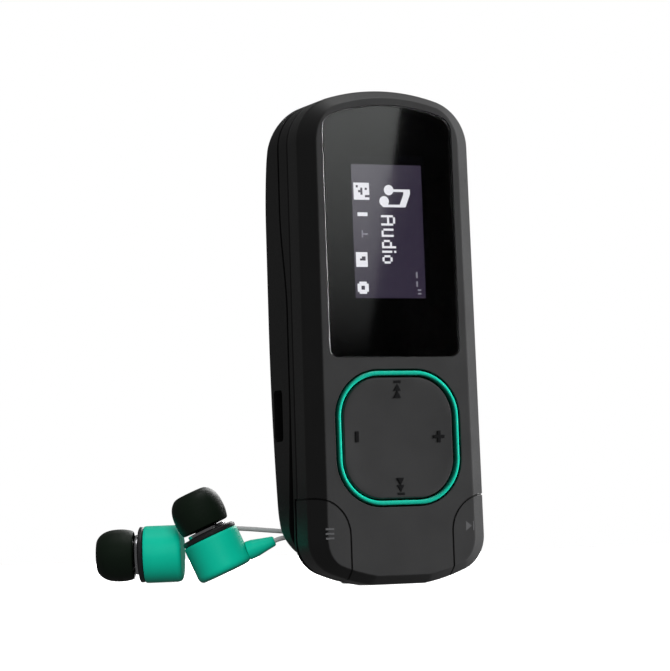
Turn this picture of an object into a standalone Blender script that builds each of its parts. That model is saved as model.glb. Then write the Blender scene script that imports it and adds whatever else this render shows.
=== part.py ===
"""Digital audio player with a spring clip on its back and wired in-ear earphones.

Metres, +Z up along the player's length, its front face towards -Y.
The origin is the middle of the player's underside.
"""
import math

import bmesh
import bpy
from mathutils import Matrix, Vector

MM = 0.001
GAP = 0.3 * MM

# Player: outline seen from the front
HEIGHT = 81.2 * MM
HALF_WIDTH_TOP = 15.5 * MM
HALF_WIDTH_BOTTOM = 15.9 * MM
TOP_RADIUS = 34 * MM
BOTTOM_RADIUS = 32 * MM
TOP_CORNER_RADIUS = 8 * MM
BOTTOM_CORNER_RADIUS = 6 * MM
BASE_CUT = 0.35 * MM

# Player: depths, front to back
FACE_Y = -8.55 * MM
RING_Y = -8.7 * MM
PARTING_Y = -2.7 * MM
REAR_FRONT_Y = PARTING_Y + GAP
REAR_BACK_Y = -0.75 * MM
REAR_TOP_BACK_Y = 1.2 * MM
BACK_Y = 8.7 * MM
STEP_LOW_Z = 45 * MM
STEP_HIGH_Z = 62 * MM
SIDE_WALL = 1.2 * MM
FRONT_WALL = 1.5 * MM
BACK_WALL = 1.0 * MM
FRONT_ROUNDING = 2.6 * MM

# Window and display
WINDOW_HALF_WIDTH = 11.75 * MM
WINDOW_BOTTOM_Z = 36.95 * MM
WINDOW_TOP_INSET = 2.6 * MM
WINDOW_TOP_CORNER = 3.0 * MM
WINDOW_BOTTOM_CORNER = 1.6 * MM
WINDOW_THICKNESS = 0.85 * MM
WINDOW_RECESS = 1.05 * MM
LCD_HALF_WIDTH = 7.3 * MM
LCD_LOW_Z = 45.2 * MM
LCD_HIGH_Z = 70.8 * MM
LCD_FRONT_Y = FACE_Y + 1.25 * MM
LCD_THICKNESS = 0.8 * MM

# Pad and its ring: rounded squares about one centre
PAD_Z = 23.8 * MM
RING_HALF = 10.95 * MM
RING_CORNER = 7.6 * MM
RING_WIDTH = 0.75 * MM
PAD_THICKNESS = 1.35 * MM
PAD_PIVOT_Y = -6.4 * MM
SWITCH_REACH = 7.3 * MM

# Corner buttons
CORNER_SEAM_X = 9.2 * MM
CORNER_TOP_Z = 14.25 * MM
CORNER_ARC = 6.0 * MM
CORNER_BACK_Y = -2.1 * MM

# Electronics
BOARD_FRONT_Y = -5.6 * MM
BOARD_BACK_Y = -4.8 * MM
BOARD_HALF_WIDTH = 10.6 * MM
BOARD_LOW_Z = 5.4 * MM
BOARD_HIGH_Z = 64.6 * MM
JACK_AXIS = (5.4 * MM, -2.9 * MM)
JACK_LOW_Z = 65.2 * MM
JACK_BORE_LOW_Z = 65.9 * MM
JACK_BORE_RADIUS = 1.8 * MM
SCREW_X = 13.0 * MM
SCREW_LOW_Z = 17.6 * MM
SCREW_HIGH_Z = 66.5 * MM

# Clip
PIVOT_Y = 3.6 * MM
PIVOT_Z = 28 * MM
CLIP_WALL = 1.4 * MM
CLIP_ROUNDING = 1.8 * MM
CLIP_LIFT = 2.6 * MM
CLIP_REST_GAP = 0.35 * MM
CLIP_TAPER = 0.077
CLIP_FLAT_LOW_Z = 44 * MM
CLIP_FLAT_HIGH_Z = 60 * MM
PIN_RADIUS = 0.8 * MM
PIN_HOLE_RADIUS = 1.1 * MM
SPRING_LEG_Y = 5.1 * MM

# Earphones: they lie behind and to the left of the player, square to this heading
HEADING = math.radians(26)
BUD_RADIUS = 4.8 * MM
BUD_LENGTH = 6.6 * MM
LEFT_BUD_AT = Vector((-32.2, 25.55, 6.25)) * MM
RIGHT_BUD_AT = Vector((-24.0, 15.95, 8.85)) * MM
RIGHT_BUD_LEAN = math.radians(23.5)
LEFT_RELIEF_RISE = math.radians(20)
RIGHT_RELIEF_RISE = math.radians(18.5)
RELIEF_AT = 4.9 * MM
RELIEF_LENGTH = 4.4 * MM
LEAD_DIAMETER = 0.8 * MM
CORD_DIAMETER = 1.4 * MM
HANK_REACH = 27 * MM
HANK_STRAIGHT = 14 * MM
FORWARD = Vector((math.sin(HEADING), math.cos(HEADING), 0))
SIDEWAYS = Vector((math.cos(HEADING), -math.sin(HEADING), 0))
UP = Vector((0, 0, 1))

# Colour, roughness, metallic
DARK_SHELL = ((0.045, 0.045, 0.047), 0.42, 0.0)
SIDE_SHELL = ((0.030, 0.030, 0.032), 0.48, 0.0)
GLOSS_BLACK = ((0.004, 0.004, 0.005), 0.06, 0.0)
DISPLAY = ((0.035, 0.026, 0.045), 0.25, 0.0)
TURQUOISE = ((0.003, 0.42, 0.27), 0.35, 0.0)
SILICONE = ((0.006, 0.009, 0.007), 0.6, 0.0)
SILVER = ((0.62, 0.62, 0.64), 0.25, 1.0)
STEEL = ((0.45, 0.45, 0.46), 0.3, 1.0)
BRASS = ((0.75, 0.55, 0.25), 0.3, 1.0)
BOARD_GREEN = ((0.02, 0.13, 0.05), 0.5, 0.0)
CHIP_BLACK = ((0.012, 0.012, 0.013), 0.55, 0.0)
FOIL = ((0.55, 0.56, 0.58), 0.35, 1.0)
AMBER = ((0.45, 0.20, 0.03), 0.4, 0.0)
RED_WIRE = ((0.50, 0.02, 0.02), 0.5, 0.0)
BLACK_RUBBER = ((0.012, 0.012, 0.012), 0.75, 0.0)
GREY_CORD = ((0.42, 0.43, 0.43), 0.5, 0.0)


# ---------------------------------------------------------------- tools

def clear_scene():
    for item in list(bpy.data.objects):
        bpy.data.objects.remove(item, do_unlink=True)


def new_collection(name):
    group = bpy.data.collections.new(name)
    bpy.context.scene.collection.children.link(group)
    return group


clear_scene()
PARTS = new_collection("digital_audio_player")
CUTTERS = new_collection("cutters")


def add_object(name, data, group):
    item = bpy.data.objects.new(name, data)
    group.objects.link(item)
    return item


def shade(item):
    if item.type == "MESH":
        item.data.shade_smooth()
        item.data.set_sharp_from_angle(angle=math.radians(32))


def finish(item, look):
    """Gives a part its own material and smooth shading."""
    colour, roughness, metallic = look
    material = bpy.data.materials.new(item.name)
    material.use_nodes = True
    shader = material.node_tree.nodes["Principled BSDF"]
    shader.inputs["Base Color"].default_value = (*colour, 1)
    shader.inputs["Roughness"].default_value = roughness
    shader.inputs["Metallic"].default_value = metallic
    item.data.materials.clear()
    item.data.materials.append(material)
    shade(item)
    return item


def as_cutter(item):
    item.hide_render = True
    item.display_type = "WIRE"
    for group in list(item.users_collection):
        group.objects.unlink(item)
    CUTTERS.objects.link(item)
    return item


def boolean(item, tool, operation):
    modifier = item.modifiers.new(operation.lower() + "_" + tool.name, "BOOLEAN")
    modifier.operation = operation
    modifier.solver = "EXACT"
    modifier.object = as_cutter(tool)
    return item


def cut(item, *tools):
    for tool in tools:
        boolean(item, tool, "DIFFERENCE")


def join(item, *tools):
    for tool in tools:
        boolean(item, tool, "UNION")


def keep_inside(item, tool):
    boolean(item, tool, "INTERSECT")


def curve_to_mesh(item):
    """Replaces a curve object by a welded mesh object in the same place."""
    graph = bpy.context.evaluated_depsgraph_get()
    mesh = bpy.data.meshes.new_from_object(item.evaluated_get(graph))
    mesh.transform(item.matrix_world)
    work = bmesh.new()
    work.from_mesh(mesh)
    bmesh.ops.remove_doubles(work, verts=work.verts, dist=0.001 * MM)
    bmesh.ops.dissolve_limit(work, angle_limit=0.01, verts=work.verts, edges=work.edges)
    bmesh.ops.recalc_face_normals(work, faces=work.faces)
    work.to_mesh(mesh)
    work.free()
    name = item.name
    bpy.data.objects.remove(item, do_unlink=True)
    result = add_object(name, mesh, PARTS)
    result.name = name
    return result


def extruded(name, loops, low, high, frame):
    """A flat outline, with any holes, extruded along its own Z and set in a frame."""
    curve = bpy.data.curves.new(name + "_outline", "CURVE")
    curve.dimensions = "2D"
    curve.fill_mode = "BOTH"
    curve.extrude = (high - low) / 2
    for loop in loops:
        spline = curve.splines.new("POLY")
        spline.points.add(len(loop) - 1)
        for point, (first, second) in zip(spline.points, loop):
            point.co = (first, second, 0, 1)
        spline.use_cyclic_u = True
    item = add_object(name, curve, PARTS)
    item.matrix_world = frame @ Matrix.Translation((0, 0, (high + low) / 2))
    bpy.context.view_layer.update()
    return curve_to_mesh(item)


def plate(name, loops, front_y, back_y):
    """An outline in X and Z, from front_y to back_y."""
    frame = Matrix.Rotation(math.radians(90), 4, "X")
    return extruded(name, loops, -back_y, -front_y, frame)


def side_plate(name, loop, low_x, high_x):
    """An outline in Y and Z, from low_x to high_x."""
    frame = Matrix(((0, 0, 1, 0), (1, 0, 0, 0), (0, 1, 0, 0), (0, 0, 0, 1)))
    return extruded(name, [loop], low_x, high_x, frame)


def box(name, low, high):
    mesh = bpy.data.meshes.new(name)
    work = bmesh.new()
    bmesh.ops.create_cube(work, size=1)
    size = [b - a for a, b in zip(low, high)]
    middle = [(a + b) / 2 for a, b in zip(low, high)]
    bmesh.ops.scale(work, vec=size, verts=work.verts)
    bmesh.ops.translate(work, vec=middle, verts=work.verts)
    work.to_mesh(mesh)
    work.free()
    return add_object(name, mesh, PARTS)


def cylinder(name, start, end, radius, segments=20, end_radius=None):
    start = Vector(start)
    end = Vector(end)
    mesh = bpy.data.meshes.new(name)
    work = bmesh.new()
    last = radius if end_radius is None else end_radius
    bmesh.ops.create_cone(work, cap_ends=True, segments=segments, radius1=radius,
                          radius2=last, depth=(end - start).length)
    turn = UP.rotation_difference(end - start).to_matrix().to_4x4()
    work.transform(Matrix.Translation((start + end) / 2) @ turn)
    work.to_mesh(mesh)
    work.free()
    return add_object(name, mesh, PARTS)


def round_edges(item, chosen, width, segments):
    """Bevels the edges of an item's mesh for which chosen(edge) is true."""
    work = bmesh.new()
    work.from_mesh(item.data)
    edges = [edge for edge in work.edges if chosen(edge)]
    bmesh.ops.bevel(work, geom=edges, offset=width, offset_type="OFFSET", affect="EDGES",
                    segments=segments, profile=0.5, clamp_overlap=True)
    work.to_mesh(item.data)
    work.free()


def on_plane_y(depth):
    return lambda edge: all(abs(vertex.co.y - depth) < 0.01 * MM for vertex in edge.verts)


def turned(name, profile, frame, segments=24, closed=False):
    """A profile in millimetres of radius and height, turned about the frame's Z."""
    mesh = bpy.data.meshes.new(name)
    count = len(profile)
    edges = [(i, i + 1) for i in range(count - 1)]
    if closed:
        edges.append((count - 1, 0))
    mesh.from_pydata([(r * MM, 0, z * MM) for r, z in profile], edges, [])
    item = add_object(name, mesh, PARTS)
    screw = item.modifiers.new("turn", "SCREW")
    screw.steps = segments
    screw.render_steps = segments
    screw.use_merge_vertices = True
    screw.merge_threshold = 0.00001
    item.matrix_world = frame
    return item


def baked(item):
    """The item with its modifiers applied and its place in its mesh."""
    bpy.context.view_layer.update()
    graph = bpy.context.evaluated_depsgraph_get()
    mesh = bpy.data.meshes.new_from_object(item.evaluated_get(graph))
    mesh.transform(item.matrix_world)
    name = item.name
    bpy.data.objects.remove(item, do_unlink=True)
    result = add_object(name, mesh, PARTS)
    result.name = name
    return result


def smooth_route(route, spacing):
    """Points along a smooth curve through the route's own points."""
    points = [Vector(p) for p in route]
    padded = [2 * points[0] - points[1], *points, 2 * points[-1] - points[-2]]
    result = []
    for before, start, end, after in zip(padded, padded[1:], padded[2:], padded[3:]):
        steps = max(1, round((end - start).length / spacing))
        for step in range(steps):
            t = step / steps
            result.append(0.5 * (2 * start + (end - before) * t
                                 + (2 * before - 5 * start + 4 * end - after) * t * t
                                 + (3 * start - before - 3 * end + after) * t ** 3))
    result.append(points[-1])
    return result


def tube(name, points, radius, resolution=2):
    curve = bpy.data.curves.new(name, "CURVE")
    curve.dimensions = "3D"
    curve.bevel_depth = radius
    curve.bevel_resolution = resolution
    curve.use_fill_caps = True
    spline = curve.splines.new("POLY")
    spline.points.add(len(points) - 1)
    for point, place in zip(spline.points, points):
        point.co = (*place, 1)
    return add_object(name, curve, PARTS)


def place_origin(item, point):
    """Moves an item's origin, and not its shape, to its joint's axis."""
    item.data.transform(Matrix.Translation(-Vector(point)))
    item.location = point


# ---------------------------------------------------------------- outlines

def arc(centre, radius, start, end, steps):
    """Points and outward normals along an arc, angles in radians."""
    result = []
    for step in range(steps + 1):
        angle = start + (end - start) * step / steps
        normal = (math.cos(angle), math.sin(angle))
        result.append((centre[0] + radius * normal[0], centre[1] + radius * normal[1], *normal))
    return result


def half_outline(lift=0.0, side_steps=1):
    """The player's right half from its base up, as points with their normals."""
    bottom_centre = (0, BOTTOM_RADIUS - BASE_CUT + lift)
    low_x = HALF_WIDTH_BOTTOM - BOTTOM_CORNER_RADIUS
    reach = BOTTOM_RADIUS - BOTTOM_CORNER_RADIUS
    low_centre = (low_x, bottom_centre[1] - math.sqrt(reach ** 2 - low_x ** 2))
    base_half = math.sqrt(BOTTOM_RADIUS ** 2 - (BOTTOM_RADIUS - BASE_CUT) ** 2)
    base_angle = -math.acos(base_half / BOTTOM_RADIUS)
    low_angle = math.atan2(low_centre[1] - bottom_centre[1], low_x)
    top_centre = (0, HEIGHT - TOP_RADIUS)
    high_x = HALF_WIDTH_TOP - TOP_CORNER_RADIUS
    reach = TOP_RADIUS - TOP_CORNER_RADIUS
    high_centre = (high_x, top_centre[1] + math.sqrt(reach ** 2 - high_x ** 2))
    high_angle = math.atan2(high_centre[1] - top_centre[1], high_x)
    crown_angle = math.radians(88)
    points = [(base_half, lift, 0, -1)]
    points += arc(bottom_centre, BOTTOM_RADIUS, base_angle, low_angle, 3)[1:]
    points += arc(low_centre, BOTTOM_CORNER_RADIUS, low_angle, 0, 6)[1:]
    for step in range(1, side_steps):
        t = step / side_steps
        points.append((HALF_WIDTH_BOTTOM + (HALF_WIDTH_TOP - HALF_WIDTH_BOTTOM) * t,
                       low_centre[1] + (high_centre[1] - low_centre[1]) * t, 1, 0))
    points += arc(high_centre, TOP_CORNER_RADIUS, 0, high_angle, 7)
    points += arc(top_centre, TOP_RADIUS, high_angle, crown_angle, 4)[1:]
    return points


def body_outline(inset=0.0):
    right = [(x - nx * inset, z - nz * inset) for x, z, nx, nz in half_outline()]
    return right + [(-x, z) for x, z in reversed(right)]


def rounded_box(half_x, low_z, high_z, radius, steps=6):
    result = []
    corners = ((half_x - radius, low_z + radius, -90), (half_x - radius, high_z - radius, 0),
               (radius - half_x, high_z - radius, 90), (radius - half_x, low_z + radius, 180))
    for x, z, start in corners:
        first = math.radians(start)
        result += [p[:2] for p in arc((x, z), radius, first, first + math.pi / 2, steps)]
    return result


def window_outline(inset=0.0):
    """The window: straight sides, small lower corners, a top that follows the player's."""
    half = WINDOW_HALF_WIDTH
    centre_z = HEIGHT - TOP_RADIUS
    big = TOP_RADIUS - WINDOW_TOP_INSET
    high_x = half - WINDOW_TOP_CORNER
    high_z = centre_z + math.sqrt((big - WINDOW_TOP_CORNER) ** 2 - high_x ** 2)
    angle = math.atan2(high_z - centre_z, high_x)
    low_x = half - WINDOW_BOTTOM_CORNER
    low_z = WINDOW_BOTTOM_Z + WINDOW_BOTTOM_CORNER
    points = arc((low_x, low_z), WINDOW_BOTTOM_CORNER, -math.pi / 2, 0, 4)
    points += arc((high_x, high_z), WINDOW_TOP_CORNER, 0, angle, 5)
    points += arc((0, centre_z), big, angle, math.radians(88), 4)[1:]
    right = [(x - nx * inset, z - nz * inset) for x, z, nx, nz in points]
    return right + [(-x, z) for x, z in reversed(right)]


def pad_square(inset):
    half = RING_HALF - inset
    return rounded_box(half, PAD_Z - half, PAD_Z + half, RING_CORNER - inset)


def corner_region(side, grow):
    """The lower corner taken by a button: a curved top edge that turns down to a seam."""
    seam = CORNER_SEAM_X - grow
    top = CORNER_TOP_Z + grow
    centre = (CORNER_SEAM_X + CORNER_ARC, CORNER_TOP_Z - CORNER_ARC)
    curve = arc(centre, CORNER_ARC + grow, math.pi / 2, math.pi, 9)
    outer = HALF_WIDTH_BOTTOM + 2 * MM
    loop = [(outer, top), *[p[:2] for p in curve], (seam, -2 * MM), (outer, -2 * MM)]
    return [(side * x, z) for x, z in loop]


def smoothstep(value):
    t = min(1, max(0, value))
    return t * t * (3 - 2 * t)


def rear_back(z):
    """The rear housing's back: thicker towards the top, where the jack is."""
    rise = smoothstep((z - STEP_LOW_Z) / (STEP_HIGH_Z - STEP_LOW_Z))
    return REAR_BACK_Y + (REAR_TOP_BACK_Y - REAR_BACK_Y) * rise


def clip_front(z):
    """The clip's rim: close to the rear housing, and leaning away below the pivot."""
    return rear_back(z) + CLIP_REST_GAP + max(0, PIVOT_Z - z) * CLIP_TAPER


def clip_back(z):
    """The clip's back: flat in the middle, and curving in towards both ends."""
    low = max(0, CLIP_FLAT_LOW_Z - z) / MM
    high = max(0, z - CLIP_FLAT_HIGH_Z) / MM
    return BACK_Y - (0.00183 * low ** 2 + 0.0083 * high ** 2) * MM


# ---------------------------------------------------------------- casing

def front_housing():
    shell = plate("front_housing", [body_outline()], FACE_Y, PARTING_Y)
    round_edges(shell, on_plane_y(FACE_Y), FRONT_ROUNDING, 4)
    cut(shell, plate("front_cavity", [body_outline(SIDE_WALL)],
                     FACE_Y + FRONT_WALL, PARTING_Y + MM))
    cut(shell, plate("window_recess", [window_outline()], FACE_Y - MM, FACE_Y + WINDOW_RECESS))
    hole = GAP + LCD_HALF_WIDTH
    cut(shell, box("display_hole", (-hole, FACE_Y, LCD_LOW_Z - GAP),
                   (hole, FACE_Y + 3 * MM, LCD_HIGH_Z + GAP)))
    cut(shell, plate("pad_hole", [pad_square(-GAP)], FACE_Y - MM, FACE_Y + 3 * MM))
    for side in (-1, 1):
        cut(shell, plate("front_corner", [corner_region(side, GAP / 2)], FACE_Y - MM, 0))
    for z in (SCREW_LOW_Z, SCREW_HIGH_Z):
        for side in (-1, 1):
            x = side * SCREW_X
            join(shell, cylinder("front_boss", (x, FACE_Y + FRONT_WALL - 0.4 * MM, z),
                                 (x, PARTING_Y, z), 1.6 * MM, 16))
            cut(shell, cylinder("screw_hole", (x, -5.5 * MM, z), (x, 0, z), 0.95 * MM, 12))
    cut(shell, *port_cutters())
    return finish(shell, DARK_SHELL)


def port_cutters():
    """The openings for the jack in the top edge and two sockets in the right side."""
    x, y = JACK_AXIS
    jack = cylinder("jack_hole", (x, y, 78.5 * MM), (x, y, 84 * MM), 2.8 * MM, 24)
    usb = box("usb_hole", (13 * MM, -4.8 * MM, 53.2 * MM), (18 * MM, -1.8 * MM, 61.3 * MM))
    card = box("card_hole", (13 * MM, -4.8 * MM, 39.2 * MM), (18 * MM, -2.9 * MM, 51.3 * MM))
    return jack, usb, card


def rear_housing():
    shell = plate("rear_housing", [body_outline()], REAR_FRONT_Y, REAR_TOP_BACK_Y)
    slope = [(rear_back(z), z) for z in
             (STEP_LOW_Z + (STEP_HIGH_Z - STEP_LOW_Z) * i / 8 for i in range(8))]
    behind = [(5 * MM, -MM), (5 * MM, STEP_HIGH_Z)]
    cut(shell, side_plate("back_step", [(REAR_BACK_Y, -MM), *slope,
                                        (REAR_TOP_BACK_Y, STEP_HIGH_Z), *reversed(behind)],
                          -20 * MM, 20 * MM))
    cut(shell, plate("rear_cavity", [body_outline(SIDE_WALL)],
                     REAR_FRONT_Y - MM, REAR_BACK_Y - BACK_WALL))
    cut(shell, box("jack_room", (1.8 * MM, REAR_FRONT_Y - MM, STEP_HIGH_Z + MM),
                   (9.0 * MM, REAR_TOP_BACK_Y - 1.1 * MM, 78.9 * MM)))
    for side in (-1, 1):
        cut(shell, plate("rear_corner", [corner_region(side, GAP / 2)],
                         REAR_FRONT_Y - MM, CORNER_BACK_Y + 0.6 * MM))
        join(shell, hinge_lug("body_lug", side * 5.2 * MM, side * 6.8 * MM,
                              REAR_BACK_Y - 0.4 * MM, 2.4 * MM))
    for z in (SCREW_LOW_Z, SCREW_HIGH_Z):
        for side in (-1, 1):
            x = side * SCREW_X
            back = rear_back(z)
            join(shell, cylinder("rear_boss", (x, REAR_FRONT_Y, z),
                                 (x, back - 0.2 * MM, z), 2.1 * MM, 16))
            cut(shell, cylinder("head_room", (x, back - 1.0 * MM, z), (x, 4 * MM, z), 1.6 * MM, 16))
            cut(shell, cylinder("shank_room", (x, -4 * MM, z), (x, 4 * MM, z), 0.95 * MM, 12))
    cut(shell, cylinder("lug_bore", (-9 * MM, PIVOT_Y, PIVOT_Z), (9 * MM, PIVOT_Y, PIVOT_Z),
                        PIN_HOLE_RADIUS, 20))
    cut(shell, *port_cutters())
    return finish(shell, SIDE_SHELL)


def hinge_lug(name, x0, x1, root_y, radius):
    """A lug from root_y with a round end about the pivot."""
    if root_y < PIVOT_Y:
        turn = arc((PIVOT_Y, PIVOT_Z), radius, -math.pi / 2, math.pi / 2, 8)
    else:
        turn = arc((PIVOT_Y, PIVOT_Z), radius, math.pi / 2, 1.5 * math.pi, 8)
    loop = [p[:2] for p in turn]
    loop += [(root_y, loop[-1][1]), (root_y, loop[0][1])]
    return side_plate(name, loop, min(x0, x1), max(x0, x1))


def case_screws():
    for level, z in (("lower", SCREW_LOW_Z), ("upper", SCREW_HIGH_Z)):
        for side, word in ((-1, "left"), (1, "right")):
            head = (rear_back(z) - 0.3 * MM) / MM
            frame = Matrix.Translation((side * SCREW_X, 0, z))
            frame = frame @ Matrix.Rotation(math.radians(-90), 4, "X")
            profile = [(0, head - 0.25), (0.35, head - 0.25), (0.35, head), (1.1, head),
                       (1.25, head - 0.15), (1.25, head - 0.45), (0.65, head - 0.45),
                       (0.65, -4.7), (0.3, -5.1), (0, -5.1)]
            finish(turned(f"case_screw_{level}_{word}", profile, frame, 12), STEEL)


def display_window():
    window = plate("display_window", [window_outline(0.2 * MM)], FACE_Y,
                   FACE_Y + WINDOW_THICKNESS)
    round_edges(window, on_plane_y(FACE_Y), 0.15 * MM, 1)
    return finish(window, GLOSS_BLACK)


def display_parts():
    half = LCD_HALF_WIDTH
    back = LCD_FRONT_Y + LCD_THICKNESS
    finish(box("lcd_panel", (-half, LCD_FRONT_Y, LCD_LOW_Z), (half, back, LCD_HIGH_Z)), DISPLAY)
    rim = half + GAP
    outer = rim + 0.8 * MM
    tray = box("lcd_holder", (-outer, -6.75 * MM, LCD_LOW_Z - 1.1 * MM),
               (outer, -5.9 * MM, LCD_HIGH_Z + 1.1 * MM))
    cut(tray, box("tray_room", (-rim, -8 * MM, LCD_LOW_Z - GAP),
                  (rim, -6.2 * MM, LCD_HIGH_Z + GAP)))
    finish(tray, CHIP_BLACK)
    ribbon = bpy.data.meshes.new("display_ribbon")
    rows = [(-6.95, 44.0), (-6.9, 43.0), (-6.55, 42.0), (-6.15, 41.2), (-6.0, 40.2), (-6.0, 37.5)]
    points = [(x * MM, y * MM, z * MM) for y, z in rows for x in (-4, 4)]
    faces = [(2 * i, 2 * i + 1, 2 * i + 3, 2 * i + 2) for i in range(len(rows) - 1)]
    ribbon.from_pydata(points, [], faces)
    ribbon = add_object("display_ribbon", ribbon, PARTS)
    thick = ribbon.modifiers.new("thickness", "SOLIDIFY")
    thick.thickness = 0.12 * MM
    thick.offset = 0
    finish(ribbon, AMBER)


# ---------------------------------------------------------------- controls

def nav_controls():
    ring = plate("nav_ring", [pad_square(0), pad_square(RING_WIDTH)], RING_Y, FACE_Y + 1.2 * MM)
    finish(ring, TURQUOISE)
    pad = plate("nav_pad", [pad_square(RING_WIDTH + GAP)], FACE_Y + 0.05 * MM,
                FACE_Y + 0.05 * MM + PAD_THICKNESS)
    round_edges(pad, on_plane_y(FACE_Y + 0.05 * MM), 0.35 * MM, 2)
    finish(pad, DARK_SHELL)
    place_origin(pad, (0, PAD_PIVOT_Y, PAD_Z))
    pivot = cylinder("pad_pivot", (0, -6.85 * MM, PAD_Z), (0, -5.95 * MM, PAD_Z), 2.2 * MM, 20)
    finish(pivot, BLACK_RUBBER)
    place_origin(pivot, (0, PAD_PIVOT_Y, PAD_Z))
    spots = (("up", 0, 1), ("down", 0, -1), ("left", -1, 0), ("right", 1, 0))
    for word, x, z in spots:
        tact_switch("pad_switch_" + word, x * SWITCH_REACH, PAD_Z + z * SWITCH_REACH, -6.65 * MM)


def tact_switch(name, x, z, top_y):
    """A flat tactile switch: a square body and a round plunger, on the board's front."""
    half = 1.4 * MM
    foot = BOARD_FRONT_Y - GAP
    body = box(name, (x - half, top_y + 0.25 * MM, z - half), (x + half, foot, z + half))
    join(body, cylinder(name + "_plunger", (x, top_y, z), (x, top_y + 0.4 * MM, z), 0.8 * MM, 12))
    finish(body, STEEL)


def corner_buttons():
    for side, word in ((-1, "left"), (1, "right")):
        button = plate(word + "_corner_button", [body_outline()], FACE_Y, CORNER_BACK_Y)
        round_edges(button, on_plane_y(FACE_Y), FRONT_ROUNDING, 4)
        keep_inside(button, plate("corner_keep", [corner_region(side, -GAP / 2)],
                                  FACE_Y - MM, 0))
        cut(button, plate("corner_cavity", [body_outline(SIDE_WALL)],
                          FACE_Y + FRONT_WALL, MM))
        x = side * 10.7 * MM
        join(button, box("corner_stem", (x - 0.7 * MM, FACE_Y + 1.2 * MM, 7.3 * MM),
                         (x + 0.7 * MM, -6.75 * MM, 8.7 * MM)))
        finish(button, DARK_SHELL)
        tact_switch("corner_switch_" + word, side * 9.9 * MM, 8 * MM, -6.4 * MM)


# ---------------------------------------------------------------- electronics

def electronics():
    half = BOARD_HALF_WIDTH
    board = plate("main_board", [rounded_box(half, BOARD_LOW_Z, BOARD_HIGH_Z, 2 * MM, 3)],
                  BOARD_FRONT_Y, BOARD_BACK_Y)
    finish(board, BOARD_GREEN)
    back = BOARD_BACK_Y + GAP
    chips = (("processor_chip", -8.5, 40, 7, 7, 0.9), ("flash_chip", -9.5, 50.5, 10, 13, 1.0),
             ("radio_tuner_chip", 3.0, 53.5, 4, 4, 0.8))
    for name, x, z, width, height, thick in chips:
        chip = box(name, (x * MM, back, z * MM),
                   ((x + width) * MM, back + thick * MM, (z + height) * MM))
        finish(chip, CHIP_BLACK)
    battery = box("battery", (-10 * MM, -4.45 * MM, 15.8 * MM), (10 * MM, -2.1 * MM, 37.6 * MM))
    round_edges(battery, lambda edge: abs(edge.verts[0].co.x - edge.verts[1].co.x) < 0.01 * MM
                and abs(edge.verts[0].co.z - edge.verts[1].co.z) > MM, 0.8 * MM, 2)
    finish(battery, FOIL)
    for name, x, look in (("battery_lead_red", -3.2, RED_WIRE), ("battery_lead_black", 0.2,
                                                                 BLACK_RUBBER)):
        route = [(x, -3.3, 37.95), (x, -3.2, 38.6), (x, -3.4, 39.2), (x, -3.9, 39.5), (x, -4.45, 39.6)]
        points = smooth_route([Vector(p) * MM for p in route], 0.4 * MM)
        finish(tube(name, points, 0.3 * MM), look)
    headphone_jack()
    usb_socket()
    card_socket()


def headphone_jack():
    x, y = JACK_AXIS
    half = 2.6 * MM
    jack = box("headphone_jack", (x - half - 0.4 * MM, y - half, JACK_LOW_Z),
               (x + half + 0.4 * MM, y + half, 78.6 * MM))
    join(jack, cylinder("jack_collar", (x, y, 78 * MM), (x, y, 80.1 * MM), 2.5 * MM, 24))
    cut(jack, cylinder("jack_bore", (x, y, JACK_BORE_LOW_Z), (x, y, 82 * MM), JACK_BORE_RADIUS, 20))
    finish(jack, CHIP_BLACK)


def usb_socket():
    shell = box("usb_socket", (10.2 * MM, -4.5 * MM, 53.5 * MM), (15.3 * MM, -2.1 * MM, 61 * MM))
    cut(shell, box("usb_mouth", (10.9 * MM, -4.2 * MM, 53.9 * MM),
                   (17 * MM, -2.4 * MM, 60.6 * MM)))
    join(shell, box("usb_tongue", (10.6 * MM, -3.55 * MM, 55.2 * MM),
                    (14.4 * MM, -3.05 * MM, 59.3 * MM)))
    finish(shell, STEEL)


def card_socket():
    shell = box("microsd_socket", (2.6 * MM, -4.5 * MM, 39.5 * MM),
                (15.3 * MM, -3.2 * MM, 51 * MM))
    cut(shell, box("card_mouth", (3.2 * MM, -4.25 * MM, 39.8 * MM),
                   (17 * MM, -3.45 * MM, 50.7 * MM)))
    finish(shell, STEEL)


# ---------------------------------------------------------------- clip

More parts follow.
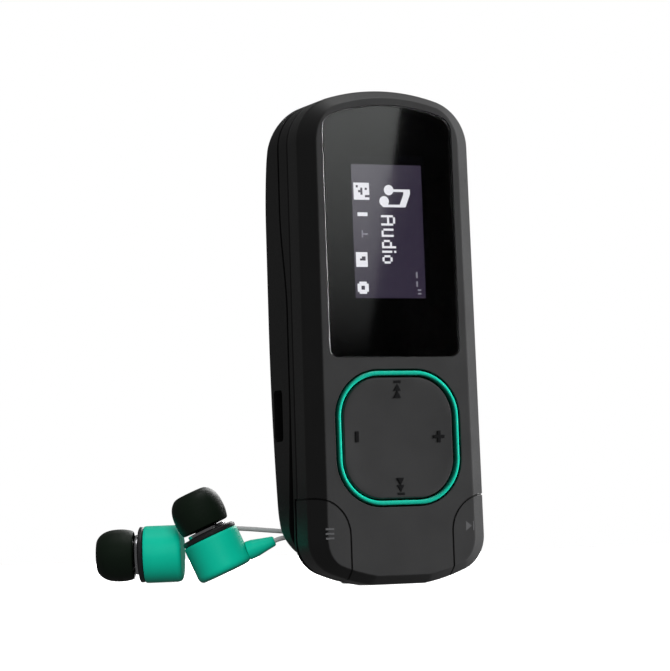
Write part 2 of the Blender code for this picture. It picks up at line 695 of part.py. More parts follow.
def clip():
    base = half_outline(CLIP_LIFT, 12)
    rings = [[(x, clip_front(z), z) for x, z, nx, nz in base]]
    steps = 4
    for step in range(steps + 1):
        angle = math.pi / 2 * step / steps
        ring = []
        for x, z, nx, nz in base:
            radius = (CLIP_ROUNDING + 2.4 * MM * smoothstep((13 * MM - z) / (9 * MM))
                      + 1.2 * MM * smoothstep((z - 70 * MM) / (9 * MM)))
            inset = radius * (1 - math.cos(angle))
            depth = radius * (1 - math.sin(angle))
            place_z = z - nz * inset
            ring.append((x - nx * inset, clip_back(z - nz * radius) - depth, place_z))
        rings.append(ring)
    count = len(base)
    points = []
    for ring in rings:
        points += ring + [(-x, y, z) for x, y, z in reversed(ring)]
    size = 2 * count
    faces = []
    for layer in range(len(rings) - 1):
        for i in range(size):
            j = (i + 1) % size
            low = layer * size
            high = low + size
            faces.append((low + i, low + j, high + j, high + i))
    last = (len(rings) - 1) * size
    for i in range(count - 1):
        faces.append((last + i, last + i + 1, last + size - 2 - i, last + size - 1 - i))
    mesh = bpy.data.meshes.new("clip")
    mesh.from_pydata(points, [], faces)
    work = bmesh.new()
    work.from_mesh(mesh)
    bmesh.ops.recalc_face_normals(work, faces=work.faces)
    if max(work.faces, key=lambda face: face.calc_center_median().y).normal.y < 0:
        bmesh.ops.reverse_faces(work, faces=work.faces)
    work.to_mesh(mesh)
    work.free()
    item = add_object("clip", mesh, PARTS)
    wall = item.modifiers.new("wall", "SOLIDIFY")
    wall.thickness = CLIP_WALL
    wall.offset = -1
    wall.use_even_offset = False
    join(item, box("grip_rib", (-8.5 * MM, 3.0 * MM, 71 * MM), (8.5 * MM, 6.6 * MM, 74 * MM)))
    for side in (-1, 1):
        join(item, hinge_lug("clip_lug", side * 7.3 * MM, side * 8.9 * MM, 7.4 * MM, 2.2 * MM))
        cut(item, box("side_notch", (side * 15.4 * MM - 2 * MM, 2.4 * MM, 24 * MM),
                      (side * 15.4 * MM + 2 * MM, 5.9 * MM, 32.5 * MM)))
    cut(item, cylinder("clip_bore", (-10 * MM, PIVOT_Y, PIVOT_Z), (10 * MM, PIVOT_Y, PIVOT_Z),
                       PIN_HOLE_RADIUS, 20))
    item = baked(item)
    finish(item, SIDE_SHELL)
    place_origin(item, (0, PIVOT_Y, PIVOT_Z))


def clip_hardware():
    pin = cylinder("clip_pin", (-9.6 * MM, PIVOT_Y, PIVOT_Z), (9.6 * MM, PIVOT_Y, PIVOT_Z),
                   PIN_RADIUS, 16)
    finish(pin, STEEL)
    grip = box("clip_grip", (-8.2 * MM, REAR_TOP_BACK_Y + CLIP_REST_GAP, 70.8 * MM),
               (8.2 * MM, 2.7 * MM, 74.2 * MM))
    round_edges(grip, on_plane_y(REAR_TOP_BACK_Y + CLIP_REST_GAP), 0.3 * MM, 1)
    finish(grip, BLACK_RUBBER)
    place_origin(grip, (0, PIVOT_Y, PIVOT_Z))
    wire = 0.22 * MM
    coil = 1.75 * MM
    turns = 5
    steps = 10
    span = 7.0 * MM
    points = [Vector((-span / 2, REAR_BACK_Y + GAP + wire, 20 * MM))]
    points.append(Vector((-span / 2, REAR_BACK_Y + GAP + wire, 24.5 * MM)))
    start = math.radians(200)
    sweep = 2 * math.pi * turns + math.radians(140)
    for step in range(turns * steps + 5):
        t = step / (turns * steps + 4)
        angle = start - sweep * t
        points.append(Vector((-span / 2 + span * t, PIVOT_Y + coil * math.cos(angle),
                              PIVOT_Z + coil * math.sin(angle))))
    points.append(Vector((span / 2, SPRING_LEG_Y, 24 * MM)))
    points.append(Vector((span / 2, SPRING_LEG_Y, 20.5 * MM)))
    finish(tube("clip_spring", points, wire), STEEL)


# ---------------------------------------------------------------- earphones

def frame_along(place, direction):
    """A frame at a place with its Z along a direction."""
    turn = UP.rotation_difference(direction).to_matrix().to_4x4()
    return Matrix.Translation(place) @ turn


def right_bud_axis():
    return (-math.sin(RIGHT_BUD_LEAN) * SIDEWAYS + math.cos(RIGHT_BUD_LEAN) * UP).normalized()


def relief_start(place, axis, outward):
    """Where a bud's strain relief starts, outward from the bud's side."""
    return place - RELIEF_AT * axis + (BUD_RADIUS + GAP) * outward


def left_relief():
    rise = LEFT_RELIEF_RISE
    direction = math.cos(rise) * FORWARD + math.sin(rise) * UP
    return relief_start(LEFT_BUD_AT, -SIDEWAYS, direction), direction


def right_relief():
    lean, rise = RIGHT_BUD_LEAN, RIGHT_RELIEF_RISE
    outward = math.cos(lean) * SIDEWAYS + math.sin(lean) * UP
    direction = math.cos(rise) * SIDEWAYS + math.sin(rise) * UP
    return relief_start(RIGHT_BUD_AT, right_bud_axis(), outward), direction


def earbud(word, place, axis, relief):
    frame = frame_along(place, axis)
    length = BUD_LENGTH / MM
    radius = BUD_RADIUS / MM
    housing = [(0, -0.15), (radius - 0.2, -0.15), (radius, -0.35)]
    housing += [p[:2] for p in arc((radius - 1.2, 1.2 - length), 1.2, 0, -math.pi / 2, 4)]
    housing += [(0, -length)]
    finish(turned(word + "_bud_housing", housing, frame), TURQUOISE)
    rim = radius - 0.15
    bezel = [(0, 0.75), (rim - 0.2, 0.75), (rim, 0.55), (rim, 0.15), (0, 0.15)]
    finish(turned(word + "_bud_bezel", bezel, frame), CHIP_BLACK)
    nozzle = [(0, 5.6), (1.7, 5.6), (1.9, 5.4), (1.9, 1.4), (3.3, 1.4), (3.3, 1.05), (0, 1.05)]
    finish(turned(word + "_bud_nozzle", nozzle, frame, 20), SILVER)
    tip = [(2.3, 8.0), (2.8, 7.85), (3.4, 7.4), (3.9, 6.7), (4.25, 5.8), (4.38, 4.6), (4.36, 3.2),
           (4.2, 2.3), (3.95, 1.75), (2.25, 1.75)]
    finish(turned(word + "_ear_tip", tip, frame, closed=True), SILICONE)
    start, direction = relief
    cone = [(0, 4.4), (0.7, 4.4), (0.85, 4.2), (1.1, 2.6), (1.5, 0.5), (1.55, 0), (0, 0)]
    finish(turned(word + "_bud_relief", cone, frame_along(start, direction), 16), TURQUOISE)


def hank_point(forward, sideways, height):
    """A point by its distances from the hank's middle along and across it."""
    return (HANK_REACH + forward) * FORWARD + sideways * SIDEWAYS + height * UP


def stadium(radius, steps=10):
    """A run with round ends, about the hank's middle, in X and Y."""
    half = HANK_STRAIGHT / 2
    result = []
    for sign in (1, -1):
        for step in range(steps + 1):
            angle = math.pi * step / steps
            place = hank_point(sign * (half + radius * math.sin(angle)),
                               sign * radius * math.cos(angle), 0)
            result.append((place.x, place.y))
    return result


def ring_solid(name, inner, outer, low, high, look):
    solid = extruded(name, [stadium(outer), stadium(inner)], low, high, Matrix.Identity(4))
    finish(solid, look)


def lead(name, route, diameter, look=GREY_CORD):
    finish(tube(name, smooth_route(route, 2.4 * diameter), diameter / 2), look)


def route_by_hank(rows):
    return [hank_point(*(value * MM for value in row)) for row in rows]


def world_route(rows):
    return [Vector(row) * MM for row in rows]


def cords():
    ring_solid("main_lead_hank", 3.5 * MM, 7.7 * MM, 0.65 * MM, 5.95 * MM, GREY_CORD)
    ring_solid("twin_lead_hank", 3.9 * MM, 7.1 * MM, 6.25 * MM, 7.6 * MM, GREY_CORD)
    tie = box("hank_tie", (2.8 * MM, -2 * MM, 0), (8.4 * MM, 2 * MM, 8.3 * MM))
    cut(tie, box("tie_room", (3.2 * MM, -3 * MM, 0.35 * MM), (8.0 * MM, 3 * MM, 7.9 * MM)))
    tie = baked(tie)
    turn = Matrix((SIDEWAYS, FORWARD, UP)).transposed().to_4x4()
    tie.data.transform(Matrix.Translation(hank_point(0, 0, 0)) @ turn)
    finish(tie, BLACK_RUBBER)

    start, direction = left_relief()
    tip = (start + (RELIEF_LENGTH + GAP) * direction) / MM
    after = tip + 1.6 * direction
    lead("left_lead", world_route([
        tip, after, (-21.2, 35.2, 10.7), (-18.8, 35.9, 10.8), (-16.3, 34.1, 10.5),
        (-12.4, 29.7, 10.1), (-9.9, 26.8, 9.75), (-5.3, 21.4, 9.0), (-2.3, 18.3, 8.1)])
        + route_by_hank([(-10.95, -6.7, 7.15)]), LEAD_DIAMETER)
    start, direction = right_relief()
    tip = (start + (RELIEF_LENGTH + GAP) * direction) / MM
    after = tip + 1.2 * direction
    lead("right_lead", world_route([
        tip, after, (-11.2, 10.3, 8.5), (-8.4, 10.3, 8.7), (-5.2, 10.8, 8.7), (-2.0, 12.4, 8.2)])
        + route_by_hank([(-12.1, -5.9, 7.15)]), LEAD_DIAMETER)

    lead("main_lead_splitter_end", route_by_hank([
        (12.0, 7.0, 4.95), (14.4, 6.9, 4.1), (17.5, 6.7, 2.6), (20.5, 6.5, 1.7), (22.7, 6.5, 1.4)]),
        CORD_DIAMETER)
    frame = frame_along(hank_point(23 * MM, 6.5 * MM, 1.4 * MM), FORWARD)
    finish(turned("lead_splitter", [(0, 8), (1.0, 8), (1.25, 7.6), (1.35, 5.5), (1.2, 1.5),
                                    (0.95, 0.2), (0.8, 0), (0, 0)], frame, 16), BLACK_RUBBER)
    for word, side in (("left", 1), ("right", -1)):
        shift = side * 0.55
        lead(word + "_lead_splitter_end", route_by_hank([
            (31.3, 6.5 + shift, 1.3), (33.5, 6.4 + 1.2 * shift, 0.9),
            (35.6 + shift, 4.2 + shift, 0.6), (35.4 + shift, 1.2 - shift, 0.6),
            (32.0, -0.6 - shift, 0.6), (27.0, -1.2 - shift, 0.8), (22.0, -1.9 - shift, 2.6),
            (18.0, -2.8 - shift, 5.3), (15.3, -3.8 - shift, 6.75)]), LEAD_DIAMETER)

    lead("main_lead_plug_end", route_by_hank([
        (12.0, -7.0, 1.1), (14.1, -6.75, 1.6), (16.2, -6.1, 2.3)]),
        CORD_DIAMETER)
    plug()


def plug():
    yaw = math.radians(5)
    direction = math.cos(yaw) * FORWARD + math.sin(yaw) * SIDEWAYS
    frame = frame_along(hank_point(16.5 * MM, -6.05 * MM, 2.35 * MM), direction)
    relief = [(0, 7.0), (1.6, 7.0), (1.6, 6.5), (1.25, 6.0), (1.35, 3.5), (1.05, 0.3),
              (0.9, 0), (0, 0)]
    finish(turned("plug_relief", relief, frame, 16), BLACK_RUBBER)
    body = [(0, 20.0), (2.0, 20.0), (2.3, 19.6), (2.3, 9.0), (2.0, 7.6), (1.8, 7.3), (0, 7.3)]
    finish(turned("plug_body", body, frame, 20), BLACK_RUBBER)
    pin = [(0, 34.3), (0.5, 34.2), (1.4, 33.0), (1.15, 32.3), (1.75, 31.4), (1.75, 29.4),
           (1.6, 29.3), (1.6, 28.8), (1.75, 28.7), (1.75, 26.4), (1.6, 26.3), (1.6, 25.8),
           (1.75, 25.7), (1.75, 20.3), (0, 20.3)]
    finish(turned("plug_contacts", pin, frame, 16), BRASS)


def main():
    front_housing()
    rear_housing()
    case_screws()
    display_window()
    display_parts()
    nav_controls()
    corner_buttons()
    electronics()
    clip()
    clip_hardware()
    earbud("left", LEFT_BUD_AT, -SIDEWAYS, left_relief())
    earbud("right", RIGHT_BUD_AT, right_bud_axis(), right_relief())
    cords()


main()
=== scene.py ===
"""The looks of a small clip-on audio player with wired in-ear earphones."""
import re
from math import acos, atan2, cos, exp, pi, radians, sin, sqrt, tan

import bmesh
import bpy
from mathutils import Matrix, Vector


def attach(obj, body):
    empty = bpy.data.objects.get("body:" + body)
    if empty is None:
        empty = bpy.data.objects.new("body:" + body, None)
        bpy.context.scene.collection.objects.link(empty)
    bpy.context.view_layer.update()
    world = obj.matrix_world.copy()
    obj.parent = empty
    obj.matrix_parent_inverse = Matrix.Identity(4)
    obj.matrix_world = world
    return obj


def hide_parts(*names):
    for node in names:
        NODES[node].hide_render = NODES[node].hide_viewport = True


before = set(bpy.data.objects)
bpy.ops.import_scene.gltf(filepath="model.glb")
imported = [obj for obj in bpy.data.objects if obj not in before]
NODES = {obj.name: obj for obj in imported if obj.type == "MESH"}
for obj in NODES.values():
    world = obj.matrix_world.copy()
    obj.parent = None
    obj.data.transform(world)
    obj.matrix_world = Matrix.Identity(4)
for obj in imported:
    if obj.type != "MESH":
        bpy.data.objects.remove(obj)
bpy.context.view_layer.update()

MM = 0.001
GAP = 0.3
UP = Vector((0, 0, 1))
SIDES = ((-1, "left"), (1, "right"))
WHITE = (1, 1, 1, 1)

# Lengths below are millimetres, until a mesh is made. Angles are radians.
CLOUDS = 6.0
HEIGHT = 81.2
HALF_WIDTH_TOP = 15.5
HALF_WIDTH_BOTTOM = 15.9
TOP_RADIUS = 34
BOTTOM_RADIUS = 32
TOP_CORNER_RADIUS = 8
BOTTOM_CORNER_RADIUS = 6
BASE_CUT = 0.35
FACE_Y = -8.55
RING_Y = -8.7
PARTING_Y = -2.7
REAR_FRONT_Y = -2.4
REAR_BACK_Y = -0.75
REAR_TOP_BACK_Y = 1.2
BACK_Y = 8.7
STEP_LOW_Z = 45
STEP_HIGH_Z = 62
SIDE_WALL = 1.2
FRONT_WALL = 1.5
FACET_WIDTH = 2.6
FACET_DEPTH = 1.8
FACET_SQUASH = 0.55
EDGE = 0.12
ARCH_END = radians(89.2)

WINDOW_HALF_WIDTH = 11.75
WINDOW_BOTTOM_Z = 36.95
WINDOW_TOP_INSET = 2.6
WINDOW_TOP_CORNER = 3.0
WINDOW_BOTTOM_CORNER = 1.6
WINDOW_RECESS = 1.05
LENS_THICKNESS = 0.62
HOLE_HALF_WIDTH = 7.6
HOLE_LOW_Z = 44.9
HOLE_HIGH_Z = 71.1
LIT_HALF_WIDTH = 6.35
LIT_LOW_Z = 46.6
LIT_HIGH_Z = 68.8
LIT_Y = -7.36

PAD_Z = 23.8
RING_HALF = 10.95
RING_CORNER = 7.6
RING_WIDTH = 0.75
PAD_DISH = 0.22
CORNER_SEAM_X = 9.2
CORNER_TOP_Z = 14.25
CORNER_ARC = 6.0
CORNER_BACK_Y = -2.1
SCREWS = ((-13.0, 17.6), (13.0, 17.6), (-13.0, 66.5), (13.0, 66.5))
BOSS_RADIUS = 1.6
POST_RADIUS = 2.1
HEAD_ROOM = 1.6
SHANK_ROOM = 0.95
KEY_STEM_X = 10.7
JACK_X = 5.4
JACK_Y = -2.9
JACK_PORT_RADIUS = 2.8

PIVOT_Y = 3.6
PIVOT_Z = 28
LUG_BORE = 1.1
SHELL_LUG_RADIUS = 2.4
CLIP_LUG_RADIUS = 2.2
NOTCH_X = 15.4
CLIP_WALL = 1.4
CLIP_LIFT = 2.6
CLIP_REST_GAP = 0.35
CLIP_TAPER = 0.077
CLIP_FLAT_LOW_Z = 44
CLIP_FLAT_HIGH_Z = 60
CLIP_ROUNDING = 1.8

HEADING = radians(26)
FORWARD = Vector((sin(HEADING), cos(HEADING), 0))
SIDEWAYS = Vector((cos(HEADING), -sin(HEADING), 0))
BUD_RADIUS = 4.8
BUD_LENGTH = 6.6
LEFT_BUD_AT = Vector((-32.2, 25.55, 6.25))
RIGHT_BUD_AT = Vector((-24.0, 15.95, 8.85))
RIGHT_BUD_LEAN = radians(23.5)
LEFT_RELIEF_RISE = radians(20)
RIGHT_RELIEF_RISE = radians(18.5)
RELIEF_AT = 4.9
RELIEF_LENGTH = 4.4
LEAD_DIAMETER = 0.8
CORD_DIAMETER = 1.4
HANK_REACH = 27
HANK_HALF_STRAIGHT = 7
HANK_SETTLE = 0.33


# ---- camera

def make_camera():
    """A long lens a little to the left of the front, almost level, with a slight roll."""
    azimuth, elevation, roll = radians(24.2), radians(-4.17), radians(2.08)
    aim = Vector((-7.48, -1.28, 41.15)) * MM
    distance = 0.4662
    look = Vector((sin(azimuth) * cos(elevation), cos(azimuth) * cos(elevation), -sin(elevation)))
    level = Vector((cos(azimuth), -sin(azimuth), 0))
    top = level.cross(look)
    right = level * cos(roll) - top * sin(roll)
    above = level * sin(roll) + top * cos(roll)
    camera = add("camera", bpy.data.cameras.new("camera"))
    turn = Matrix((right, above, -look)).transposed().to_4x4()
    camera.matrix_world = Matrix.Translation(aim - look * distance) @ turn
    camera.data.lens = 151.7
    camera.data.sensor_width = 36
    camera.data.clip_start = 0.05
    camera.data.clip_end = 50
    bpy.context.scene.camera = camera


# ---- materials

def link(tree, start, end):
    tree.links.new(start, end)


def filled(node, **values):
    """A node with these input values, each named with _ for its spaces."""
    for key, value in values.items():
        node.inputs[key.replace("_", " ")].default_value = value
    return node


def new_node(tree, kind, **values):
    return filled(tree.nodes.new("ShaderNode" + kind), **values)


def noise(tree, place, size, detail=3.0, rough=0.5):
    """A noise texture whose features are about size metres across."""
    node = new_node(tree, "TexNoise", Scale=1 / size, Detail=detail, Roughness=rough)
    link(tree, place, node.inputs["Vector"])
    return node.outputs["Fac"]


def spread(tree, value, low, high):
    """A value from 0 to 1 spread from low to high, about its middle half."""
    node = new_node(tree, "MapRange", From_Min=0.3, From_Max=0.7, To_Min=low, To_Max=high)
    link(tree, value, node.inputs["Value"])
    return node.outputs["Result"]


def tinted(tree, colour, value, share):
    """The colour, a share darker to a share lighter with a value from 0 to 1."""
    node = new_node(tree, "Mix")
    node.data_type = "RGBA"
    darker = [channel * (1 - share) for channel in colour]
    lighter = [min(1, channel * (1 + share)) for channel in colour]
    filled(node, A=(*darker, 1), B=(*lighter, 1))
    link(tree, spread(tree, value, 0, 1), node.inputs["Factor"])
    return node.outputs["Result"]


def material(name, **values):
    """A new material, its node tree, and its shader with these input values."""
    result = bpy.data.materials.new(name)
    result.use_nodes = True
    tree = result.node_tree
    return result, tree, filled(tree.nodes["Principled BSDF"], **values)


def surface(name, colour, rough, metal=0.0, grain=0.15, depth=0.004, tone=0.08, wear=0.05, **extra):
    """A moulded, plated or printed finish: grain and depth in mm, tone and wear as shares."""
    result, tree, shader = material(name, Metallic=metal, **extra)
    place = new_node(tree, "TexCoord").outputs["Object"]
    broad = noise(tree, place, CLOUDS * MM, 4.0)
    fine = noise(tree, place, grain * MM, 2.0, 0.6)
    link(tree, tinted(tree, colour, broad, tone), shader.inputs["Base Color"])
    link(tree, spread(tree, noise(tree, place, 2.3 * grain * MM, 3.0), rough - wear, rough + wear),
         shader.inputs["Roughness"])
    bump = new_node(tree, "Bump", Strength=1.0, Distance=depth * MM)
    link(tree, fine, bump.inputs["Height"])
    link(tree, bump.outputs["Normal"], shader.inputs["Normal"])
    return result


def glowing(name, colour, gloss=0.0, spot=0.1):
    """A lit part of the display, with the fine unevenness of its dots, spot mm apart."""
    result = surface(name, (0.01, 0.01, 0.01), 0.06, grain=spot, depth=0.0001, wear=0.0,
                     Specular_IOR_Level=gloss, IOR=1.6, Emission_Strength=1.0)
    tree = result.node_tree
    place = tree.nodes["Texture Coordinate"].outputs["Object"]
    colours = tinted(tree, colour, noise(tree, place, spot * MM, 1.0), 0.05)
    link(tree, colours, tree.nodes["Principled BSDF"].inputs["Emission Color"])
    return result


SHELL = surface("shell_plastic", (0.034, 0.034, 0.0345), 0.46, depth=0.006)
SIDE = surface("side_plastic", (0.020, 0.020, 0.0205), 0.5, depth=0.006)
PAD = surface("pad_plastic", (0.034, 0.034, 0.0345), 0.42, grain=0.2)
LENS = surface("window_lens", (0.97, 0.97, 0.98), 0.03, grain=4, depth=0.0006, tone=0.01,
               wear=0.01, Transmission_Weight=1.0, IOR=1.49)
MASK = surface("window_print", (0.0012, 0.0012, 0.0014), 0.5, tone=0.2, Specular_IOR_Level=0.0)
PANEL = surface("display_panel", (0.002, 0.002, 0.003), 0.3, tone=0.2, Specular_IOR_Level=0.0)
TURQUOISE = surface("turquoise_plastic", (0.0025, 0.43, 0.285), 0.4, grain=0.3, depth=0.002,
                    tone=0.05, Specular_IOR_Level=0.25)
RING = surface("ring_plastic", (0.006, 0.36, 0.25), 0.25, grain=0.3, depth=0.001, tone=0.05)
SILICONE = surface("silicone", (0.004, 0.0075, 0.0045), 0.5, grain=0.3, tone=0.15,
                   Specular_IOR_Level=0.2)
BLACK = surface("black_plastic", (0.010, 0.010, 0.011), 0.4)
RUBBER = surface("black_rubber", (0.011, 0.011, 0.011), 0.68, grain=0.2, depth=0.008)
SILVER = surface("satin_silver", (0.62, 0.62, 0.64), 0.24, 1.0, grain=0.1, depth=0.001, tone=0.05)
STEEL = surface("plated_steel", (0.46, 0.46, 0.47), 0.3, 1.0, grain=0.12, depth=0.002)
BRASS = surface("plated_contacts", (0.78, 0.58, 0.28), 0.22, 1.0, grain=0.1, depth=0.001)
CORD = surface("cord_sleeve", (0.43, 0.435, 0.44), 0.42, grain=0.25, tone=0.06)
INK = surface("dark_ink", (0.006, 0.006, 0.0065), 0.55, depth=0.002)
PALE_INK = surface("pale_ink", (0.085, 0.085, 0.088), 0.5, depth=0.002)
LIT = glowing("display_lit", (0.027, 0.020, 0.040), gloss=1.0)
BRIGHT = glowing("display_bright", (0.86, 0.86, 0.90))
DIM = glowing("display_dim", (0.22, 0.21, 0.25))
BOARD = surface("solder_mask", (0.018, 0.12, 0.045), 0.4, grain=0.5, depth=0.02, tone=0.35)
CHIP = surface("chip_resin", (0.012, 0.012, 0.013), 0.55)
FOIL = surface("battery_foil", (0.55, 0.56, 0.58), 0.33, 1.0, grain=1.2, depth=0.05)
FILM = surface("amber_film", (0.45, 0.20, 0.03), 0.35, grain=0.6, tone=0.2)
RED = surface("red_insulation", (0.50, 0.02, 0.02), 0.45, grain=0.2)


# ---- mesh tools

def add(name, data):
    item = bpy.data.objects.new(name, data)
    bpy.context.scene.collection.objects.link(item)
    return item


def weld(mesh, distance, turn_out=False):
    """Joins a mesh's points that are within a distance in mm."""
    work = bmesh.new()
    work.from_mesh(mesh)
    bmesh.ops.remove_doubles(work, verts=work.verts, dist=distance * MM)
    if turn_out:
        bmesh.ops.recalc_face_normals(work, faces=work.faces)
    work.to_mesh(mesh)
    work.free()


def from_faces(name, points, faces):
    """A mesh object from millimetre points, with its faces turned out."""
    mesh = bpy.data.meshes.new(name)
    mesh.from_pydata([tuple(value * MM for value in p) for p in points], [], faces)
    weld(mesh, 0.002, turn_out=True)
    return add(name, mesh)


def band(low, high, count):
    """Faces between two closed rings of count points, from their first points' numbers."""
    faces = []
    for i in range(count):
        j = (i + 1) % count
        faces.append((low + i, low + j, high + j, high + i))
    return faces


def bands(layers, count, closed=False):
    """Faces between rings in turn, and from the last to the first where they are closed."""
    return [face for layer in range(layers if closed else layers - 1)
            for face in band(layer * count, (layer + 1) % layers * count, count)]


def bridge(first, half):
    """Faces from side to side of a ring with half its points on each side."""
    last = first + 2 * half - 1
    return [(first + i, first + i + 1, last - 1 - i, last - i) for i in range(half - 1)]


def loft(name, rings, closed=False):
    """Rings of equal length joined in turn; a cap at each end, or the last to the first."""
    count = len(rings[0])
    points = [p for ring in rings for p in ring]
    faces = bands(len(rings), count, closed)
    if not closed:
        faces.append(tuple(range(count)))
        faces.append(tuple(range(len(points) - count, len(points))))
    return from_faces(name, points, faces)


def bake(item):
    """Makes an item's modifiers its own shape."""
    shown = item.evaluated_get(bpy.context.evaluated_depsgraph_get())
    mesh = bpy.data.meshes.new_from_object(shown)
    item.modifiers.clear()
    item.data = mesh
    return item


def boolean(item, tool, operation):
    step = item.modifiers.new(operation, "BOOLEAN")
    step.operation = operation
    step.object = tool
    bake(item)
    bpy.data.objects.remove(tool)


def cut(item, *tools):
    for tool in tools:
        boolean(item, tool, "DIFFERENCE")


def join(item, *tools):
    for tool in tools:
        boolean(item, tool, "UNION")


def dress(item, look, body="player", replaces=(), angle=32):
    """Shades an item, gives it its finish and ties it to its body and CAD nodes."""
    if item.type == "MESH":
        weld(item.data, 0.001)
        item.data.shade_smooth()
        item.data.set_sharp_from_angle(angle=radians(angle))
        even = item.modifiers.new("even_normals", "WEIGHTED_NORMAL")
        even.keep_sharp = True
    item.data.materials.clear()
    item.data.materials.append(look)
    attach(item, body)
    if replaces:
        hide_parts(*replaces)
    return item


def arc(centre, radius, start, end, steps):
    """Points and outward normals along an arc, angles in radians."""
    result = []
    for step in range(steps + 1):
        angle = start + (end - start) * step / steps
        normal = (cos(angle), sin(angle))
        result.append((centre[0] + radius * normal[0], centre[1] + radius * normal[1], *normal))
    return result


def mirrored(right, inset=0.0, squash=1.0):
    """A closed outline from its right half, moved in by inset, and by a share of it along Z."""
    half = [(x - nx * inset, z - nz * inset * squash) for x, z, nx, nz in right]
    return half + [(-x, z) for x, z in reversed(half)]


def quarter(steps):
    """The angles of a quarter turn in equal steps."""
    return [pi / 2 * step / steps for step in range(steps + 1)]


def back_edge(y, radius, steps, sink=0.0):
    """Insets and depths of an edge that rounds in to a back face at y."""
    return [(sink + radius * (1 - cos(angle)), y - radius * (1 - sin(angle)))
            for angle in quarter(steps)]


def levels(front_y, front_round, back_y, back_round, front_steps):
    """Insets and depths from a rounded front edge to a slightly rounded back edge."""
    front = [(front_round * (1 - sin(angle)), front_y + front_round * (1 - cos(angle)))
             for angle in quarter(front_steps)]
    return front + back_edge(back_y, back_round, 1)


def slab(name, outline, steps):
    """A plate across Y: outline(inset) at each level's inset and depth."""
    return loft(name, [[(x, y, z) for x, z in outline(inset)] for inset, y in steps])


def plate(name, outline, start_y, end_y):
    """A plate across Y with a straight edge."""
    return slab(name, lambda inset: outline, [(0, start_y), (0, end_y)])


def side_plate(name, outline, start_x, end_x):
    """A plate across X from a (y, z) outline."""
    return loft(name, [[(x, y, z) for y, z in outline] for x in (start_x, end_x)])


def flared(name, outline, flare=EDGE, deep=0.0):
    """A cutter through the front face, whose hole has a rounded lip of radius flare."""
    lip = [(-flare * (1 - cos(angle)), FACE_Y + flare * (1 - sin(angle)))
           for angle in (radians(80) * step / 4 for step in range(5))]
    return slab(name, outline, [(0, FACE_Y + deep), *lip, (-flare, FACE_Y - 1)])


def box(name, low, high):
    ring = [(0, 0), (1, 0), (1, 1), (0, 1)]
    span = [b - a for a, b in zip(low, high)]
    return loft(name, [[(low[0] + u * span[0], low[1] + v * span[1], z) for u, v in ring]
                       for z in (low[2], high[2])])


def rod(name, start, end, radius, steps=40):
    """A round cutter or post between two points."""
    axis = Vector(end) - Vector(start)
    where = frame_along(Vector(start), axis.normalized())
    return loft(name, [[tuple(where @ Vector((x, y, height))) for x, y in disc(0, 0, radius, steps)]
                       for height in (0, axis.length)])


def frame_along(place, direction):
    turn = UP.rotation_difference(direction).to_matrix().to_4x4()
    return Matrix.Translation(place) @ turn


def filleted(corners, steps=5):
    """A profile whose corners (radius, height, fillet) are rounded by their fillet."""
    result = []
    last = len(corners) - 1
    for index, (r, h, fillet) in enumerate(corners):
        here = Vector((r, h))
        if index in (0, last) or fillet == 0:
            result.append((r, h))
            continue
        before = (Vector(corners[index - 1][:2]) - here).normalized()
        after = (Vector(corners[index + 1][:2]) - here).normalized()
        reach = fillet / tan(before.angle(after) / 2)
        start, end = here + before * reach, here + after * reach
        for step in range(steps + 1):
            t = step / steps
            result.append(tuple(start * (1 - t) ** 2 + 2 * here * t * (1 - t) + end * t ** 2))
    return result


def turned(name, profile, where, closed=False, segments=80):
    """A turned piece from (radius, height) points, its axis along where's Z."""
    circle = [2 * pi * segment / segments for segment in range(segments)]
    points = [tuple(where @ Vector((r * cos(angle), r * sin(angle), h)))
              for r, h in profile for angle in circle]
    return from_faces(name, points, bands(len(profile), segments, closed))


def smooth_route(route, spacing):
    """Points along a smooth curve through the route's own points."""
    points = [Vector(p) for p in route]
    padded = [2 * points[0] - points[1], *points, 2 * points[-1] - points[-2]]
    result = []
    for before, start, end, after in zip(padded, padded[1:], padded[2:], padded[3:]):
        steps = max(1, round((end - start).length / spacing))
        for step in range(steps):
            t = step / steps
            result.append(0.5 * (2 * start + (end - before) * t
                                 + (2 * before - 5 * start + 4 * end - after) * t * t
                                 + (3 * start - before - 3 * end + after) * t ** 3))
    result.append(points[-1])
    return result


# ---- cords

def hank_point(forward, sideways, height):
    """A point by its distances in mm from the hank's middle along and across it."""
    return (HANK_REACH + forward) * FORWARD + sideways * SIDEWAYS + height * UP


def by_hank(rows):
    return [hank_point(*row) for row in rows]


def settled(forward, height):
    """A turn's height: held up by the tie at the middle, lying on the table past it."""
    return height - HANK_SETTLE * (1 - exp(-(forward / 5) ** 2))


def wound(lanes, ends_near):
    """The hank's turns. Each lane, a (radius, height), is a run back towards the player, its
    loop and a run out again; the far loop leads to the next lane. The last lane stops at the
    near end, or where it has run out again."""
    half = HANK_HALF_STRAIGHT
    run = (half, half / 3, -half / 3, -half)
    loop = 12
    result = []

    def reach(f, s, h):
        result.append(hank_point(f, s, settled(f, h)))

    for index, (radius, height) in enumerate(lanes):
        for f in run:
            reach(f, -radius, height)
        last = index == len(lanes) - 1
        if last and ends_near:
            break
        for step in range(1, loop):
            angle = -pi / 2 + pi * step / loop
            reach(-half - radius * cos(angle), radius * sin(angle), height)
        for f in run:
            reach(-f, radius, height)
        if last:
            break
        next_radius, next_height = lanes[index + 1]
        for step in range(1, loop):
            t = step / loop
            ease = smoothstep(t)
            angle = pi / 2 - pi * t
            r = radius + (next_radius - radius) * ease
            reach(half + r * cos(angle), r * sin(angle), height + (next_height - height) * ease)
    return result


